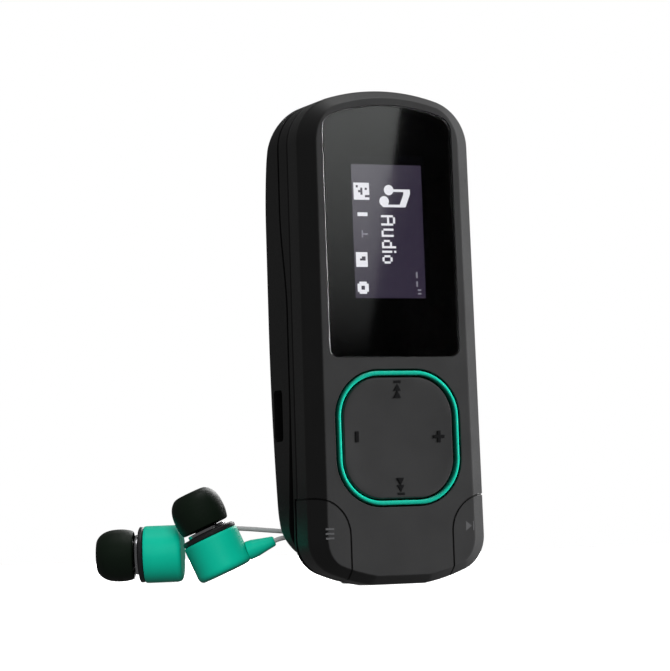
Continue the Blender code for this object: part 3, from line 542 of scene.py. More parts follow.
def cord(name, route, diameter, slot_nodes):
    """A round cord along a route, standing for its plain CAD solids."""
    points = smooth_route(route, 0.55 * diameter)
    curve = bpy.data.curves.new(name, "CURVE")
    curve.dimensions = "3D"
    curve.bevel_depth = diameter / 2 * MM
    curve.bevel_resolution = 5
    curve.use_fill_caps = True
    spline = curve.splines.new("POLY")
    spline.points.add(len(points) - 1)
    for point, place in zip(spline.points, points):
        point.co = (*(place * MM), 1)
    spline.use_smooth = True
    return dress(add(name, curve), CORD, replaces=slot_nodes)


def right_bud_axis():
    return (-sin(RIGHT_BUD_LEAN) * SIDEWAYS + cos(RIGHT_BUD_LEAN) * UP).normalized()


def relief_start(place, axis, outward):
    return place - RELIEF_AT * axis + (BUD_RADIUS + GAP) * outward


def left_relief():
    direction = cos(LEFT_RELIEF_RISE) * FORWARD + sin(LEFT_RELIEF_RISE) * UP
    return relief_start(LEFT_BUD_AT, -SIDEWAYS, direction), direction


def right_relief():
    lean, rise = RIGHT_BUD_LEAN, RIGHT_RELIEF_RISE
    outward = cos(lean) * SIDEWAYS + sin(lean) * UP
    direction = cos(rise) * SIDEWAYS + sin(rise) * UP
    return relief_start(RIGHT_BUD_AT, right_bud_axis(), outward), direction


def turned_piece(name, profile, where, look, slot, nodes=(), closed=False, segments=80, angle=32):
    return dress(turned(name, profile, where, closed, segments), look, replaces=nodes,
                 angle=angle)


def splitter():
    where = frame_along(hank_point(23, 6.5, 1.4), FORWARD)
    profile = filleted([(0, 0, 0), (0.85, 0, 0.2), (1.0, 0.5, 0.3), (1.3, 2.0, 1.0), (1.35, 5.6, 1.2),
                        (1.22, 7.7, 0.25), (0.95, 8.0, 0.1), (0, 8.0, 0)])
    return turned_piece("splitter", profile, where, RUBBER, "black_rubber", ["lead_splitter"],
                        segments=48)


def plug():
    """The 3.5 mm plug: ribbed relief, grip, and three contacts with rings between them."""
    yaw = radians(5)
    direction = cos(yaw) * FORWARD + sin(yaw) * SIDEWAYS
    where = frame_along(hank_point(16.5, -6.05, 2.35), direction)
    relief = [(0, 0), (0.85, 0), (0.98, 0.15)]
    for rib in range(5):
        h = 0.7 + 1.1 * rib
        wide = 1.08 + 0.08 * rib
        relief += [(wide, h), (wide + 0.12, h + 0.2), (wide + 0.12, h + 0.55), (wide - 0.1, h + 0.75)]
    relief += [(1.5, 6.5), (1.6, 6.75), (1.6, 7.0), (0, 7.0)]
    grip = filleted([(0, 7.3, 0), (1.75, 7.3, 0.15), (2.3, 9.2, 0.8), (2.3, 19.9, 0.25),
                     (2.0, 20.0, 0.05), (0, 20.0, 0)])
    pin = [(0, 20.3), (1.9, 20.3), (1.9, 20.9), (1.75, 21.0)]
    for low, high in ((21.0, 25.7), (26.4, 28.7), (29.4, 31.3)):
        pin += [(1.75, low), (1.75, high), (1.6, high + 0.03), (1.6, high + 0.67)]
    pin = pin[:-2] + [(1.72, 31.5), (1.2, 32.2), (1.18, 32.5), (1.5, 33.0), (1.45, 33.4), (1.1, 33.9),
                      (0.5, 34.25), (0, 34.3)]
    parts = [turned_piece("plug_relief_ribbed", relief, where, RUBBER, "black_rubber", ["plug_relief"],
                          segments=48),
             turned_piece("plug_grip", grip, where, BLACK, "black_rubber", ["plug_body"], segments=64),
             turned_piece("plug_pin", pin, where, BRASS, "plug_metal", ["plug_contacts"],
                          segments=56, angle=25)]
    for number, h in enumerate((25.75, 28.75)):
        ring = [(1.62, h), (1.74, h + 0.03), (1.74, h + 0.57), (1.62, h + 0.6)]
        parts.append(turned_piece(f"plug_insulator_{number}", ring, where, BLACK, "black_rubber",
                                  closed=True, segments=56))
    return parts


def make_cords():
    split = splitter()
    start, direction = left_relief()
    left_tip = start + (RELIEF_LENGTH - 0.2) * direction
    left_route = [left_tip, left_tip + 1.6 * direction, (-21.2, 35.2, 10.7), (-18.8, 35.9, 10.8),
                  (-16.3, 34.1, 10.5), (-12.4, 29.7, 10.1), (-9.9, 26.8, 9.75), (-5.3, 21.4, 9.0),
                  (-2.3, 18.3, 8.1)] + by_hank([(-10.95, -6.7, 7.15)])
    start, direction = right_relief()
    right_tip = start + (RELIEF_LENGTH - 0.2) * direction
    right_route = [right_tip, right_tip + 1.2 * direction, (-11.2, 10.3, 8.5), (-8.4, 10.3, 8.7),
                   (-5.2, 10.8, 8.7), (-2.0, 12.4, 8.2)] + by_hank([(-12.1, -5.9, 7.15)])
    plans = (("left", 1, left_route, left_tip, (6.7, 5.1), 0.286),
             ("right", -1, right_route, right_tip, (5.9, 4.3), 0.250))
    for word, side, route, tip, (outer, inner), length in plans:
        shift = side * 0.55
        splitter_end = by_hank([
            (31.3, 6.5 + shift, 1.3), (33.5, 6.4 + 1.2 * shift, 0.9), (35.6 + shift, 4.2 + shift, 0.6),
            (35.4 + shift, 1.2 - shift, 0.6), (32.0, -0.6 - shift, 0.6), (27.0, -1.2 - shift, 0.8),
            (22.0, -1.9 - shift, 2.6), (18.0, -2.8 - shift, 5.3), (15.3, -3.8 - shift, 6.75)])
        turns = wound([(outer, 6.35), (inner, 6.35), (inner, 7.15), (outer, 7.15)], ends_near=True)
        item = cord(word + "_earphone_lead", route + turns[::-1] + splitter_end[::-1],
                    LEAD_DIAMETER, [word + "_lead", word + "_lead_splitter_end"])

    plug_end = by_hank([(16.2, -6.1, 2.3), (14.1, -6.75, 1.6), (12.0, -7.0, 1.1)])
    out = by_hank([(12.0, 7.0, 4.95), (14.4, 6.9, 4.1), (17.5, 6.7, 2.6), (20.5, 6.5, 1.7),
                   (22.7, 6.5, 1.4)])
    lanes = [(radius, 1.05 + CORD_DIAMETER * layer)
             for layer in range(4) for radius in ((7.0, 5.6, 4.2), (4.2, 5.6, 7.0))[layer % 2]]
    item = cord("main_lead", plug_end + wound(lanes, ends_near=False) + out, CORD_DIAMETER,
                ["main_lead_hank", "twin_lead_hank", "main_lead_splitter_end", "main_lead_plug_end"])
    plug()


def hank_tie():
    """A soft strap once round the outer run, slightly thicker along its middle."""
    outer = rounded_rect(2.8, 8.4, 0.02, 8.3, 1.1, 8)
    middle = rounded_rect(2.77, 8.43, 0.0, 8.33, 1.1, 8)
    inner = rounded_rect(3.15, 8.05, 0.37, 7.95, 0.8, 8)
    half = 1.85
    crown = half - 0.15
    rings = [[(s, f, h) for s, h in loop] for loop, f in
             ((outer, -half), (middle, -crown), (middle, crown), (outer, half), (inner, half),
              (inner, -half))]
    turn = Matrix((SIDEWAYS, FORWARD, UP)).transposed().to_4x4()
    turn = Matrix.Translation(hank_point(0, 0, 0)) @ turn
    rings = [[tuple(turn @ Vector(p)) for p in ring] for ring in rings]
    dress(loft("hank_strap", rings, closed=True), RUBBER, replaces=["hank_tie"])


# ---- earphones

def earphone(word, place, axis, relief):
    """One earphone's housing, bezel, nozzle, hollow soft tip, and its cord's strain relief."""
    where = frame_along(place, axis)
    back = -BUD_LENGTH

    def piece(kind, profile, look, slot, node, here=where, **how):
        turned_piece(f"{word}_earphone_{kind}", profile, here, look, slot, [f"{word}_{node}"], **how)

    wide, rim = BUD_RADIUS, BUD_RADIUS - 0.12
    barrel = filleted([(0, -0.15, 0), (wide - 0.08, -0.15, 0.12), (wide, -0.55, 0.1),
                       (wide, back, 1.15), (0, back, 0)], 8)
    piece("housing", barrel, TURQUOISE, "turquoise_plastic", "bud_housing")
    bezel = filleted([(0, -0.1, 0), (rim - 0.18, -0.1, 0.12), (rim, 0.1, 0.08),
                      (rim, 0.6, 0.12), (rim - 0.4, 0.8, 0.1), (0, 0.8, 0)])
    piece("bezel", bezel, BLACK, "black_plastic", "bud_bezel")
    collar = filleted([(1.2, 0.85, 0), (3.35, 0.85, 0.1), (3.35, 1.42, 0.15), (2.0, 1.45, 0.15),
                       (1.9, 1.8, 0.1), (1.9, 5.6, 0.2), (1.45, 5.6, 0.1), (1.4, 5.2, 0)])
    piece("nozzle", [*collar, (1.2, 5.2)], SILVER, "silver", "bud_nozzle", closed=True, segments=64)
    skin = [(2.02, 7.5), (2.06, 7.85), (2.3, 8.0), (2.8, 7.86), (3.35, 7.45), (3.85, 6.8),
            (4.18, 6.0), (4.35, 5.1), (4.4, 4.1), (4.36, 3.2), (4.22, 2.4), (4.06, 1.84),
            (3.88, 1.72), (3.75, 1.92), (3.86, 3.0), (3.88, 4.2), (3.7, 5.4), (3.36, 6.2),
            (2.98, 6.45), (2.8, 6.1), (2.75, 4.6), (2.75, 2.4), (2.65, 1.98), (2.3, 1.94),
            (2.02, 2.2)]
    ring = [Vector((r, h, 0)) for r, h in skin]
    spacing = 0.22
    smooth = [(p.x, p.y) for p in smooth_route([ring[-1], *ring, ring[0], ring[1]], spacing)]
    first = round((ring[0] - ring[-1]).length / spacing) or 1
    last = round((ring[1] - ring[0]).length / spacing) or 1
    piece("tip", smooth[first:-last - 1], SILICONE, "silicone", "ear_tip", closed=True, segments=96)
    start, direction = relief
    cone = filleted([(0, -0.4, 0), (1.6, -0.4, 0.1), (1.55, 0.7, 0.3), (1.15, 2.6, 1.5),
                     (0.84, 4.2, 0.3), (0.7, RELIEF_LENGTH, 0.08), (0, RELIEF_LENGTH, 0)])
    piece("relief", cone, TURQUOISE, "turquoise_plastic", "bud_relief",
          here=frame_along(start, direction), segments=48)


# ---- outlines

def corner_at(centre_z, radius, half_width, corner, way=1):
    """A corner's centre, between a big arc and a side, and its angle about the arc's centre."""
    x = half_width - corner
    z = centre_z + way * sqrt((radius - corner) ** 2 - x ** 2)
    return (x, z), atan2(z - centre_z, x)


def half_outline(lift=0.0, side_steps=40):
    """The player's right half from its base up, as points with their normals."""
    bottom_z = BOTTOM_RADIUS - BASE_CUT + lift
    low_centre, low_angle = corner_at(bottom_z, BOTTOM_RADIUS, HALF_WIDTH_BOTTOM,
                                      BOTTOM_CORNER_RADIUS, -1)
    high_centre, high_angle = corner_at(HEIGHT - TOP_RADIUS, TOP_RADIUS, HALF_WIDTH_TOP,
                                        TOP_CORNER_RADIUS)
    base_half = sqrt(BOTTOM_RADIUS ** 2 - (BOTTOM_RADIUS - BASE_CUT) ** 2)
    base_angle = -acos(base_half / BOTTOM_RADIUS)
    points = [(base_half, lift, 0, -1)]
    points += arc((0, bottom_z), BOTTOM_RADIUS, base_angle, low_angle, 8)[1:]
    points += arc(low_centre, BOTTOM_CORNER_RADIUS, low_angle, 0, 18)[1:]
    for step in range(1, side_steps):
        t = step / side_steps
        points.append((HALF_WIDTH_BOTTOM + (HALF_WIDTH_TOP - HALF_WIDTH_BOTTOM) * t,
                       low_centre[1] + (high_centre[1] - low_centre[1]) * t, 1, 0))
    points += arc(high_centre, TOP_CORNER_RADIUS, 0, high_angle, 20)
    points += arc((0, HEIGHT - TOP_RADIUS), TOP_RADIUS, high_angle, ARCH_END, 12)[1:]
    return points


BODY = half_outline()


def body_outline(inset=0.0):
    return mirrored(BODY, inset)


def front_outline(inset=0.0):
    """The front edge's outline: its facet is widest along the long sides."""
    return mirrored(BODY, inset, FACET_SQUASH)


def front_edge(back_y, back_round=EDGE, sink=0.0):
    """Insets and depths of the front's edge: a facet, then the side, with rounded turns."""
    result = filleted([(FACET_WIDTH + 0.4 + sink, FACE_Y + sink, 0),
                       (FACET_WIDTH + sink, FACE_Y + sink, 0.7),
                       (sink, FACE_Y + FACET_DEPTH + sink, 0.9), (sink, back_y - back_round, 0)])
    return result + back_edge(back_y, back_round, 3, sink)[1:]


def rounded_rect(low_x, high_x, low_z, high_z, radius, steps):
    left, right = low_x + radius, high_x - radius
    bottom, top = low_z + radius, high_z - radius
    result = []
    for x, z, start in ((right, bottom, -90), (right, top, 0), (left, top, 90), (left, bottom, 180)):
        first = radians(start)
        result += [p[:2] for p in arc((x, z), radius, first, first + pi / 2, steps)]
    return result


def window_outline(inset=0.0):
    """The window: straight sides, small lower corners, a top that follows the player's."""
    centre_z = HEIGHT - TOP_RADIUS
    big = TOP_RADIUS - WINDOW_TOP_INSET
    centre, angle = corner_at(centre_z, big, WINDOW_HALF_WIDTH, WINDOW_TOP_CORNER)
    low_x = WINDOW_HALF_WIDTH - WINDOW_BOTTOM_CORNER
    low_z = WINDOW_BOTTOM_Z + WINDOW_BOTTOM_CORNER
    points = arc((low_x, low_z), WINDOW_BOTTOM_CORNER, -pi / 2, 0, 12)
    points += arc(centre, WINDOW_TOP_CORNER, 0, angle, 14)
    points += arc((0, centre_z), big, angle, ARCH_END, 10)[1:]
    return mirrored(points, inset)


def pad_square(inset):
    half = RING_HALF - inset
    return rounded_rect(-half, half, PAD_Z - half, PAD_Z + half, RING_CORNER - inset, 24)


def corner_region(side, grow):
    """The lower corner taken by a key: a curved top edge that turns down to a seam."""
    centre = (CORNER_SEAM_X + CORNER_ARC, CORNER_TOP_Z - CORNER_ARC)
    outer = HALF_WIDTH_BOTTOM + 2
    curve = arc(centre, CORNER_ARC + grow, pi / 2, pi, 24)
    loop = [(outer, CORNER_TOP_Z + grow), *[p[:2] for p in curve],
            (CORNER_SEAM_X - grow, -2), (outer, -2)]
    return [(side * x, z) for x, z in loop]


def smoothstep(value):
    t = min(1, max(0, value))
    return t * t * (3 - 2 * t)


def rear_back(z):
    """The rear shell's back: thicker towards the top, where the jack is."""
    rise = smoothstep((z - STEP_LOW_Z) / (STEP_HIGH_Z - STEP_LOW_Z))
    return REAR_BACK_Y + (REAR_TOP_BACK_Y - REAR_BACK_Y) * rise


def clip_front(z):
    """The clip's rim: close to the rear shell, and leaning away below the pivot."""
    return rear_back(z) + CLIP_REST_GAP + max(0, PIVOT_Z - z) * CLIP_TAPER


def clip_back(z):
    """The clip's back: flat in the middle, and curving in towards both ends."""
    low = max(0, CLIP_FLAT_LOW_Z - z)
    high = max(0, z - CLIP_FLAT_HIGH_Z)
    return BACK_Y - (0.00183 * low ** 2 + 0.0083 * high ** 2)


# ---- front

def ports():
    """Cutters for the jack in the top edge and two sockets in the right side."""
    jack = rod("jack_port", (JACK_X, JACK_Y, 78.5), (JACK_X, JACK_Y, 84), JACK_PORT_RADIUS)
    usb = rounded_rect(-4.8, -1.8, 53.2, 61.3, 0.6, 6)
    memory_card = rounded_rect(-4.8, -2.9, 39.2, 51.3, 0.4, 6)
    return jack, side_plate("usb_port", usb, 13, 18), side_plate("card_port", memory_card, 13, 18)


def front_shell():
    shell = slab("front_shell", front_outline, front_edge(PARTING_Y))
    cut(shell, plate("inside", body_outline(SIDE_WALL), PARTING_Y + 1, FACE_Y + FRONT_WALL))
    cut(shell, flared("window_seat", window_outline, flare=0.05, deep=WINDOW_RECESS))
    cut(shell, box("display_hole", (-HOLE_HALF_WIDTH, FACE_Y, HOLE_LOW_Z),
                   (HOLE_HALF_WIDTH, FACE_Y + 3, HOLE_HIGH_Z)))
    cut(shell, flared("pad_seat", lambda inset: pad_square(inset - GAP), deep=3))
    for side in (-1, 1):
        cut(shell, plate("key_seat", corner_region(side, GAP / 2), FACE_Y - 1, 0))
    for x, z in SCREWS:
        join(shell, rod("boss", (x, FACE_Y + FRONT_WALL - 0.4, z), (x, PARTING_Y, z), BOSS_RADIUS))
        cut(shell, rod("boss_hole", (x, -5.5, z), (x, 0, z), SHANK_ROOM))
    cut(shell, *ports())
    dress(shell, SHELL, replaces=["front_housing"])


def corner_keys():
    for side, word in SIDES:
        key = slab(word + "_corner_key", front_outline, front_edge(CORNER_BACK_Y))
        boolean(key, plate("key_keep", corner_region(side, -GAP / 2), FACE_Y - 1, 0), "INTERSECT")
        cut(key, plate("key_inside", body_outline(SIDE_WALL), FACE_Y + FRONT_WALL, 1))
        x = side * KEY_STEM_X
        join(key, box("key_stem", (x - 0.7, FACE_Y + 1.2, 7.3), (x + 0.7, -6.75, 8.7)))
        dress(key, SHELL, word + "_corner_button", [word + "_corner_button"])


def seam_shade_liners():
    """Thin dark liners in the seams round the corner keys, set a little below the surface: painted
    shade that stands for the dark inside the gaps.
    """
    deep, half = 0.1, 0.11
    for side, word in SIDES:
        seam_shade = slab(word + "_key_seal", front_outline, front_edge(CORNER_BACK_Y - 0.1, 0.05, deep))
        boolean(seam_shade, plate("seal_keep", corner_region(side, half), FACE_Y - 1, 0), "INTERSECT")
        cut(seam_shade, plate("seal_drop", corner_region(side, -half), FACE_Y - 2, 1),
            plate("seal_inside", body_outline(SIDE_WALL - 0.1), FACE_Y + FRONT_WALL - 0.1, 1))
        # the dark rubber finish here is painted shade for the seam gaps
        dress(seam_shade, RUBBER)


def window():
    lens = slab("window_lens", lambda inset: window_outline(inset + 0.08),
                levels(FACE_Y, 0.16, FACE_Y + LENS_THICKNESS, 0.03, 4))
    dress(lens, LENS, replaces=["display_window"])
    back = FACE_Y + LENS_THICKNESS
    mask = plate("window_print", window_outline(0.1), back + 0.02, back + 0.08)
    opening = rounded_rect(-7.0, 7.0, 46.7, 70.2, 0.3, 14)
    cut(mask, plate("print_opening", opening, back - 1, back + 1))
    dress(mask, MASK)


def pad():
    face = FACE_Y + 0.05
    edge = RING_WIDTH + GAP
    rings = [[(x, y, z) for x, z in pad_square(edge + inset)]
             for inset, y in reversed(levels(face, 0.35, face + 1.35, 0.05, 6))]
    rim = [(x, z) for x, z in pad_square(edge + 0.35)]
    for step in range(1, 13):
        share = 1 - step / 12.5
        y = face + PAD_DISH * (1 - share ** 2)
        rings.append([(x * share, y, PAD_Z + (z - PAD_Z) * share) for x, z in rim])
    dress(loft("control_pad", rings), PAD, "nav_pad", ["nav_pad"])
    rise = [(0, FACE_Y + 1.2), (0, -8.42), (0.03, -8.54), (0.1, -8.64), (0.22, -8.69)]
    fall = [(RING_WIDTH - inset, y) for inset, y in reversed(rise)]
    ring = loft("control_ring", [[(x, y, z) for x, z in pad_square(inset)]
                                 for inset, y in (*rise, (RING_WIDTH / 2, RING_Y), *fall)],
                closed=True)
    dress(ring, RING, replaces=["nav_ring"], angle=50)


def printed(name, shapes, look, body, low_y, high_y):
    """Thin printed or lit marks: outlines in X and Z, joined in one piece."""
    points, faces = [], []
    for loop in shapes:
        start, count = len(points), len(loop)
        points += [(x, y, z) for y in (low_y, high_y) for x, z in loop]
        faces += band(start, start + count, count)
        faces += [tuple(range(first, first + count)) for first in (start, start + count)]
    return dress(from_faces(name, points, faces), look, body)


def bar(x, z, width, height):
    return [(x - width / 2, z - height / 2), (x + width / 2, z - height / 2),
            (x + width / 2, z + height / 2), (x - width / 2, z + height / 2)]


def disc(x, z, radius, steps=20):
    ring = arc((0, 0), radius, 0, 2 * pi * (1 - 1 / steps), steps - 1)
    return [(x + p[0], z + p[1]) for p in ring]


TILE_DOTS = ("#######", "# #####", "### # #", "##  ###", "### ###", "#####  ", "#######")
RECORD_DOTS = ("######", "######", "###  #", "##   #", "######", "######", "######")
GEAR_DOTS = (" #### ", "######", "##  ##", "##  ##", "######", " #### ")
WORD_DOTS = ((0, ("###### ", "   #  #", "   #  #", "   #  #", "###### ")),
             (6.5, (" #####", "#     ", "#     ", "######")),
             (12, (" ### ", "#   #", "#   #", "#######")),
             (17.2, ("##### #",)),
             (19.4, (" ### ", "#   #", "#   #", " ### ")))


def pointer(x, z, half, tall):
    """A triangle that points along tall's sign."""
    return [(x - half, z - tall / 2), (x + half, z - tall / 2), (x, z + tall / 2)]


def symbols():
    """The marks on the pad and the corner keys, which read with the player on its side."""
    dished = FACE_Y + 0.05 + PAD_DISH * 0.42
    reach = 7.4

    def on_pad(name, shapes):
        printed(name, shapes, INK, "nav_pad", dished - 0.1, dished + 0.15)

    def on_key(word, name, shapes):
        printed(name, shapes, PALE_INK, word + "_corner_button", FACE_Y - 0.015, FACE_Y + 0.1)

    for word, way in (("up", 1), ("down", -1)):
        z = PAD_Z + way * 8.05
        arrows = [pointer(0.1, z + way * rise, 0.62, way * 1.15) for rise in (-0.95, 0.2)]
        on_pad("mark_" + word, [*arrows, bar(0.1, z + way * 1.1, 1.3, 0.42)])
    on_pad("mark_less", [bar(-reach, PAD_Z + 0.3, 0.55, 1.75)])
    arms = [bar(reach + off, PAD_Z + 0.1, 0.7, 0.5) for off in (-0.6, 0.6)]
    on_pad("mark_more", [bar(reach, PAD_Z + 0.1, 0.5, 1.9), *arms])
    on_key("left", "mark_list", [bar(-12.9, 9.3 - 0.75 * row, 1.5, 0.3) for row in range(3)])
    on_key("right", "mark_play", [[(11.6, 9.9), (11.6, 8.3), (12.7, 9.1)], bar(13.0, 9.1, 0.22, 1.5)])


def dots(x, z, pitch, rows, across=None):
    """Runs of dots from a corner, a row of text each: # is lit. Rows go down the page, which
    is towards the player's base; a word's rows are its columns, with letter tops towards +X."""
    across = across or pitch
    marks = []
    for line, row in enumerate(rows):
        for run in re.finditer("#+", row):
            width = (run.end() - run.start()) * across
            marks.append(bar(x + run.start() * across + width / 2, z - (line + 0.5) * pitch,
                             width, pitch * 1.02))
    return marks


def display():
    """The lit area and a plain menu, drawn for the player lying on its side."""
    lit = rounded_rect(-LIT_HALF_WIDTH, LIT_HALF_WIDTH, LIT_LOW_Z, LIT_HIGH_Z, 0.12, 3)
    printed("display_field", [lit], LIT, "player", LIT_Y, LIT_Y + 0.04)
    front, back = LIT_Y - 0.03, LIT_Y - 0.005

    def lit_marks(name, shapes, look=BRIGHT):
        printed(name, shapes, look, "player", front, back)

    lit_marks("menu_music_tile", dots(-6.05, 65.75, 0.4, TILE_DOTS))
    lit_marks("menu_film_bar", [bar(-4.6, 60.55, 1.8, 0.62)])
    lit_marks("menu_radio_mark", [bar(-4.25, 57.3, 1.0, 0.28), bar(-4.75, 57.3, 0.25, 1.15)], DIM)
    lit_marks("menu_record_tile", dots(-6.05, 54.3, 0.345, RECORD_DOTS))
    lit_marks("menu_gear", dots(-5.95, 49.45, 0.33, GEAR_DOTS))
    lit_marks("menu_note_heads", [disc(0.3, 64.62, 0.86), disc(-0.6, 62.75, 0.86)])
    stems = [bar(2.2, 64.55, 3.6, 0.42), bar(0.9, 62.0, 3.6, 0.42),
             [(2.95, 64.75), (4.15, 64.75), (4.15, 64.0), (3.25, 61.8), (2.2, 61.8), (2.2, 62.2),
              (2.95, 63.9)]]
    lit_marks("menu_note_stems", stems)
    lit_marks("menu_footer", [bar(4.85, 50.6, 0.28, 1.0), bar(4.85, 49.1, 0.28, 0.9),
                              bar(5.25, 48.1, 0.6, 0.25), bar(5.25, 47.5, 0.6, 0.25)], DIM)
    letters = [(-1.27, 60.45 - 0.341 * column, rows) for column, rows in WORD_DOTS]
    lit_marks("menu_word", [mark for x, z, rows in letters
                            for mark in dots(x, z, 0.341, rows, across=0.36)])


# ---- back

def rear_shell():
    """The rear shell, flat in front and bridged from side to side across its curved back."""
    def ring(inset, depth_of):
        return [(x, depth_of(z), z) for x, z in body_outline(inset)]
    rings = [ring(EDGE, lambda z: REAR_FRONT_Y), ring(0, lambda z: REAR_FRONT_Y + EDGE)]
    rings += [ring(inset, lambda z: rear_back(z) + y) for inset, y in back_edge(0, 0.35, 5)]
    half = len(BODY)
    faces = [tuple(range(2 * half)), *bands(len(rings), 2 * half),
             *bridge((len(rings) - 1) * 2 * half, half)]
    shell = from_faces("rear_shell", [p for points in rings for p in points], faces)
    cut(shell, plate("rear_inside", body_outline(SIDE_WALL), REAR_FRONT_Y - 1, REAR_BACK_Y - 1))
    cut(shell, box("jack_room", (1.8, REAR_FRONT_Y - 1, STEP_HIGH_Z + 1),
                   (9.0, REAR_TOP_BACK_Y - 1.1, 78.9)))
    for side in (-1, 1):
        cut(shell, plate("rear_key_seat", corner_region(side, GAP / 2), REAR_FRONT_Y - 1,
                         CORNER_BACK_Y + 0.6))
        join(shell, lug("shell_lug", side * 5.2, side * 6.8, REAR_BACK_Y - 0.4, SHELL_LUG_RADIUS))
    for x, z in SCREWS:
        back = rear_back(z)
        join(shell, rod("post", (x, REAR_FRONT_Y, z), (x, back - 0.2, z), POST_RADIUS))
        cut(shell, rod("head_room", (x, back - 1.0, z), (x, 4, z), HEAD_ROOM))
        cut(shell, rod("shank_room", (x, -4, z), (x, 4, z), SHANK_ROOM))
    cut(shell, rod("lug_bore", (-9, PIVOT_Y, PIVOT_Z), (9, PIVOT_Y, PIVOT_Z), LUG_BORE))
    cut(shell, *ports())
    dress(shell, SIDE, replaces=["rear_housing"])


def lug(name, x0, x1, root_y, radius):
    """A hinge lug from root_y with a round end about the pivot."""
    start, end = (-0.5, 0.5) if root_y < PIVOT_Y else (0.5, 1.5)
    loop = [p[:2] for p in arc((PIVOT_Y, PIVOT_Z), radius, start * pi, end * pi, 24)]
    loop += [(root_y, loop[-1][1]), (root_y, loop[0][1])]
    return side_plate(name, loop, min(x0, x1), max(x0, x1))


def clip_shell():
    base = half_outline(CLIP_LIFT, 60)

    def layer(inward, wall):
        """Rings from the rim over the rounded edge to the back, moved in by a wall."""
        rings = [[(x - nx * wall, clip_front(z), z - nz * wall) for x, z, nx, nz in base]]
        for angle in quarter(12):
            ring = []
            for x, z, nx, nz in base:
                radius = (CLIP_ROUNDING + 2.4 * smoothstep((13 - z) / 9)
                          + 1.2 * smoothstep((z - 70) / 9))
                inner = max(0.3, radius - wall) if inward else radius
                inset = wall + inner * (1 - cos(angle))
                depth = clip_back(z - nz * radius) - wall - inner * (1 - sin(angle))
                ring.append((x - nx * inset, depth, z - nz * inset))
            rings.append(ring)
        return [ring + [(-x, y, z) for x, y, z in reversed(ring)] for ring in rings]

    outer, inner = layer(False, 0.0), layer(True, CLIP_WALL)
    half = len(base)
    count = 2 * half
    rings = outer + inner
    size = len(outer)
    faces = []
    for index in range(size - 1):
        for low in (index, size + index):
            faces += band(low * count, (low + 1) * count, count)
    faces += band(0, size * count, count)
    for last in (size - 1, 2 * size - 1):
        faces += bridge(last * count, half)
    clip = from_faces("clip_shell", [p for ring in rings for p in ring], faces)
    join(clip, box("grip_rib", (-8.5, 3.0, 71), (8.5, 6.6, 74)))
    for side in (-1, 1):
        join(clip, lug("clip_lug", side * 7.3, side * 8.9, 7.4, CLIP_LUG_RADIUS))
        x = side * NOTCH_X
        cut(clip, side_plate("side_notch", rounded_rect(2.4, 5.9, 24, 32.5, 0.7, 8), x - 2, x + 2))
    cut(clip, rod("clip_bore", (-10, PIVOT_Y, PIVOT_Z), (10, PIVOT_Y, PIVOT_Z), LUG_BORE))
    dress(clip, SIDE, "clip", ["clip"])


def clip_grip():
    """The rubber pad at the clip's tip, with four rounded ridges."""
    front, back = REAR_TOP_BACK_Y + CLIP_REST_GAP, 2.7
    loop = [(back, 70.8), (front + 0.3, 70.8)]
    for step in range(33):
        t = step / 32
        loop.append((front + 0.14 - 0.14 * cos(8 * pi * t + pi), 70.95 + 3.1 * t))
    loop += [(front + 0.3, 74.2), (back, 74.2)]
    grip = side_plate("clip_tip_grip", loop, -8.2, 8.2)
    dress(grip, RUBBER, "clip", ["clip_grip"], angle=40)


# ---- carried CAD parts

def carried():
    """Finishes for the CAD parts that show as they are: steel unless they are listed."""
    looks = {
        "lcd_panel": PANEL, "lcd_holder": BLACK, "display_ribbon": FILM, "main_board": BOARD,
        "processor_chip": CHIP, "flash_chip": CHIP, "radio_tuner_chip": CHIP, "battery": FOIL,
        "battery_lead_red": RED, "battery_lead_black": RUBBER, "headphone_jack": BLACK,
        "pad_pivot": RUBBER}
    for name, node in NODES.items():
        if node.hide_render:
            continue
        node.data.materials.clear()
        node.data.materials.append(looks.get(name, STEEL))


# ---- stage

def plain(name, grey, glow=0.0):
    return material(name, Base_Color=(grey, grey, grey, 1), Roughness=1.0, Specular_IOR_Level=0.0,
                    Emission_Color=WHITE, Emission_Strength=glow)[0]


def area_light(name, place, aim, size, power, glossy=False):
    lamp = bpy.data.lights.new(name, "AREA")
    lamp.shape = "RECTANGLE"
    lamp.size, lamp.size_y = size
    lamp.energy = power
    item = add(name, lamp)
    item.location = place
    item.rotation_euler = (Vector(aim) - Vector(place)).to_track_quat("-Z", "Y").to_euler()
    item.visible_camera = False
    item.visible_glossy = glossy
    return item


def mirrored_in_window(x, z, depth):
    """Where the camera's ray through a window point goes once mirrored, at a depth Y."""
    eye = bpy.context.scene.camera.matrix_world.translation / MM
    share = (FACE_Y - depth) / (eye.y - FACE_Y) * -1
    return (x + (x - eye.x) * share, depth, z + (z - eye.z) * share)


def card(name, corners, look):
    """A card that only reflections see."""
    item = from_faces(name, corners, [(0, 1, 2, 3)])
    item.data.materials.append(look)
    item.visible_camera = False
    item.visible_diffuse = False
    item.visible_shadow = False


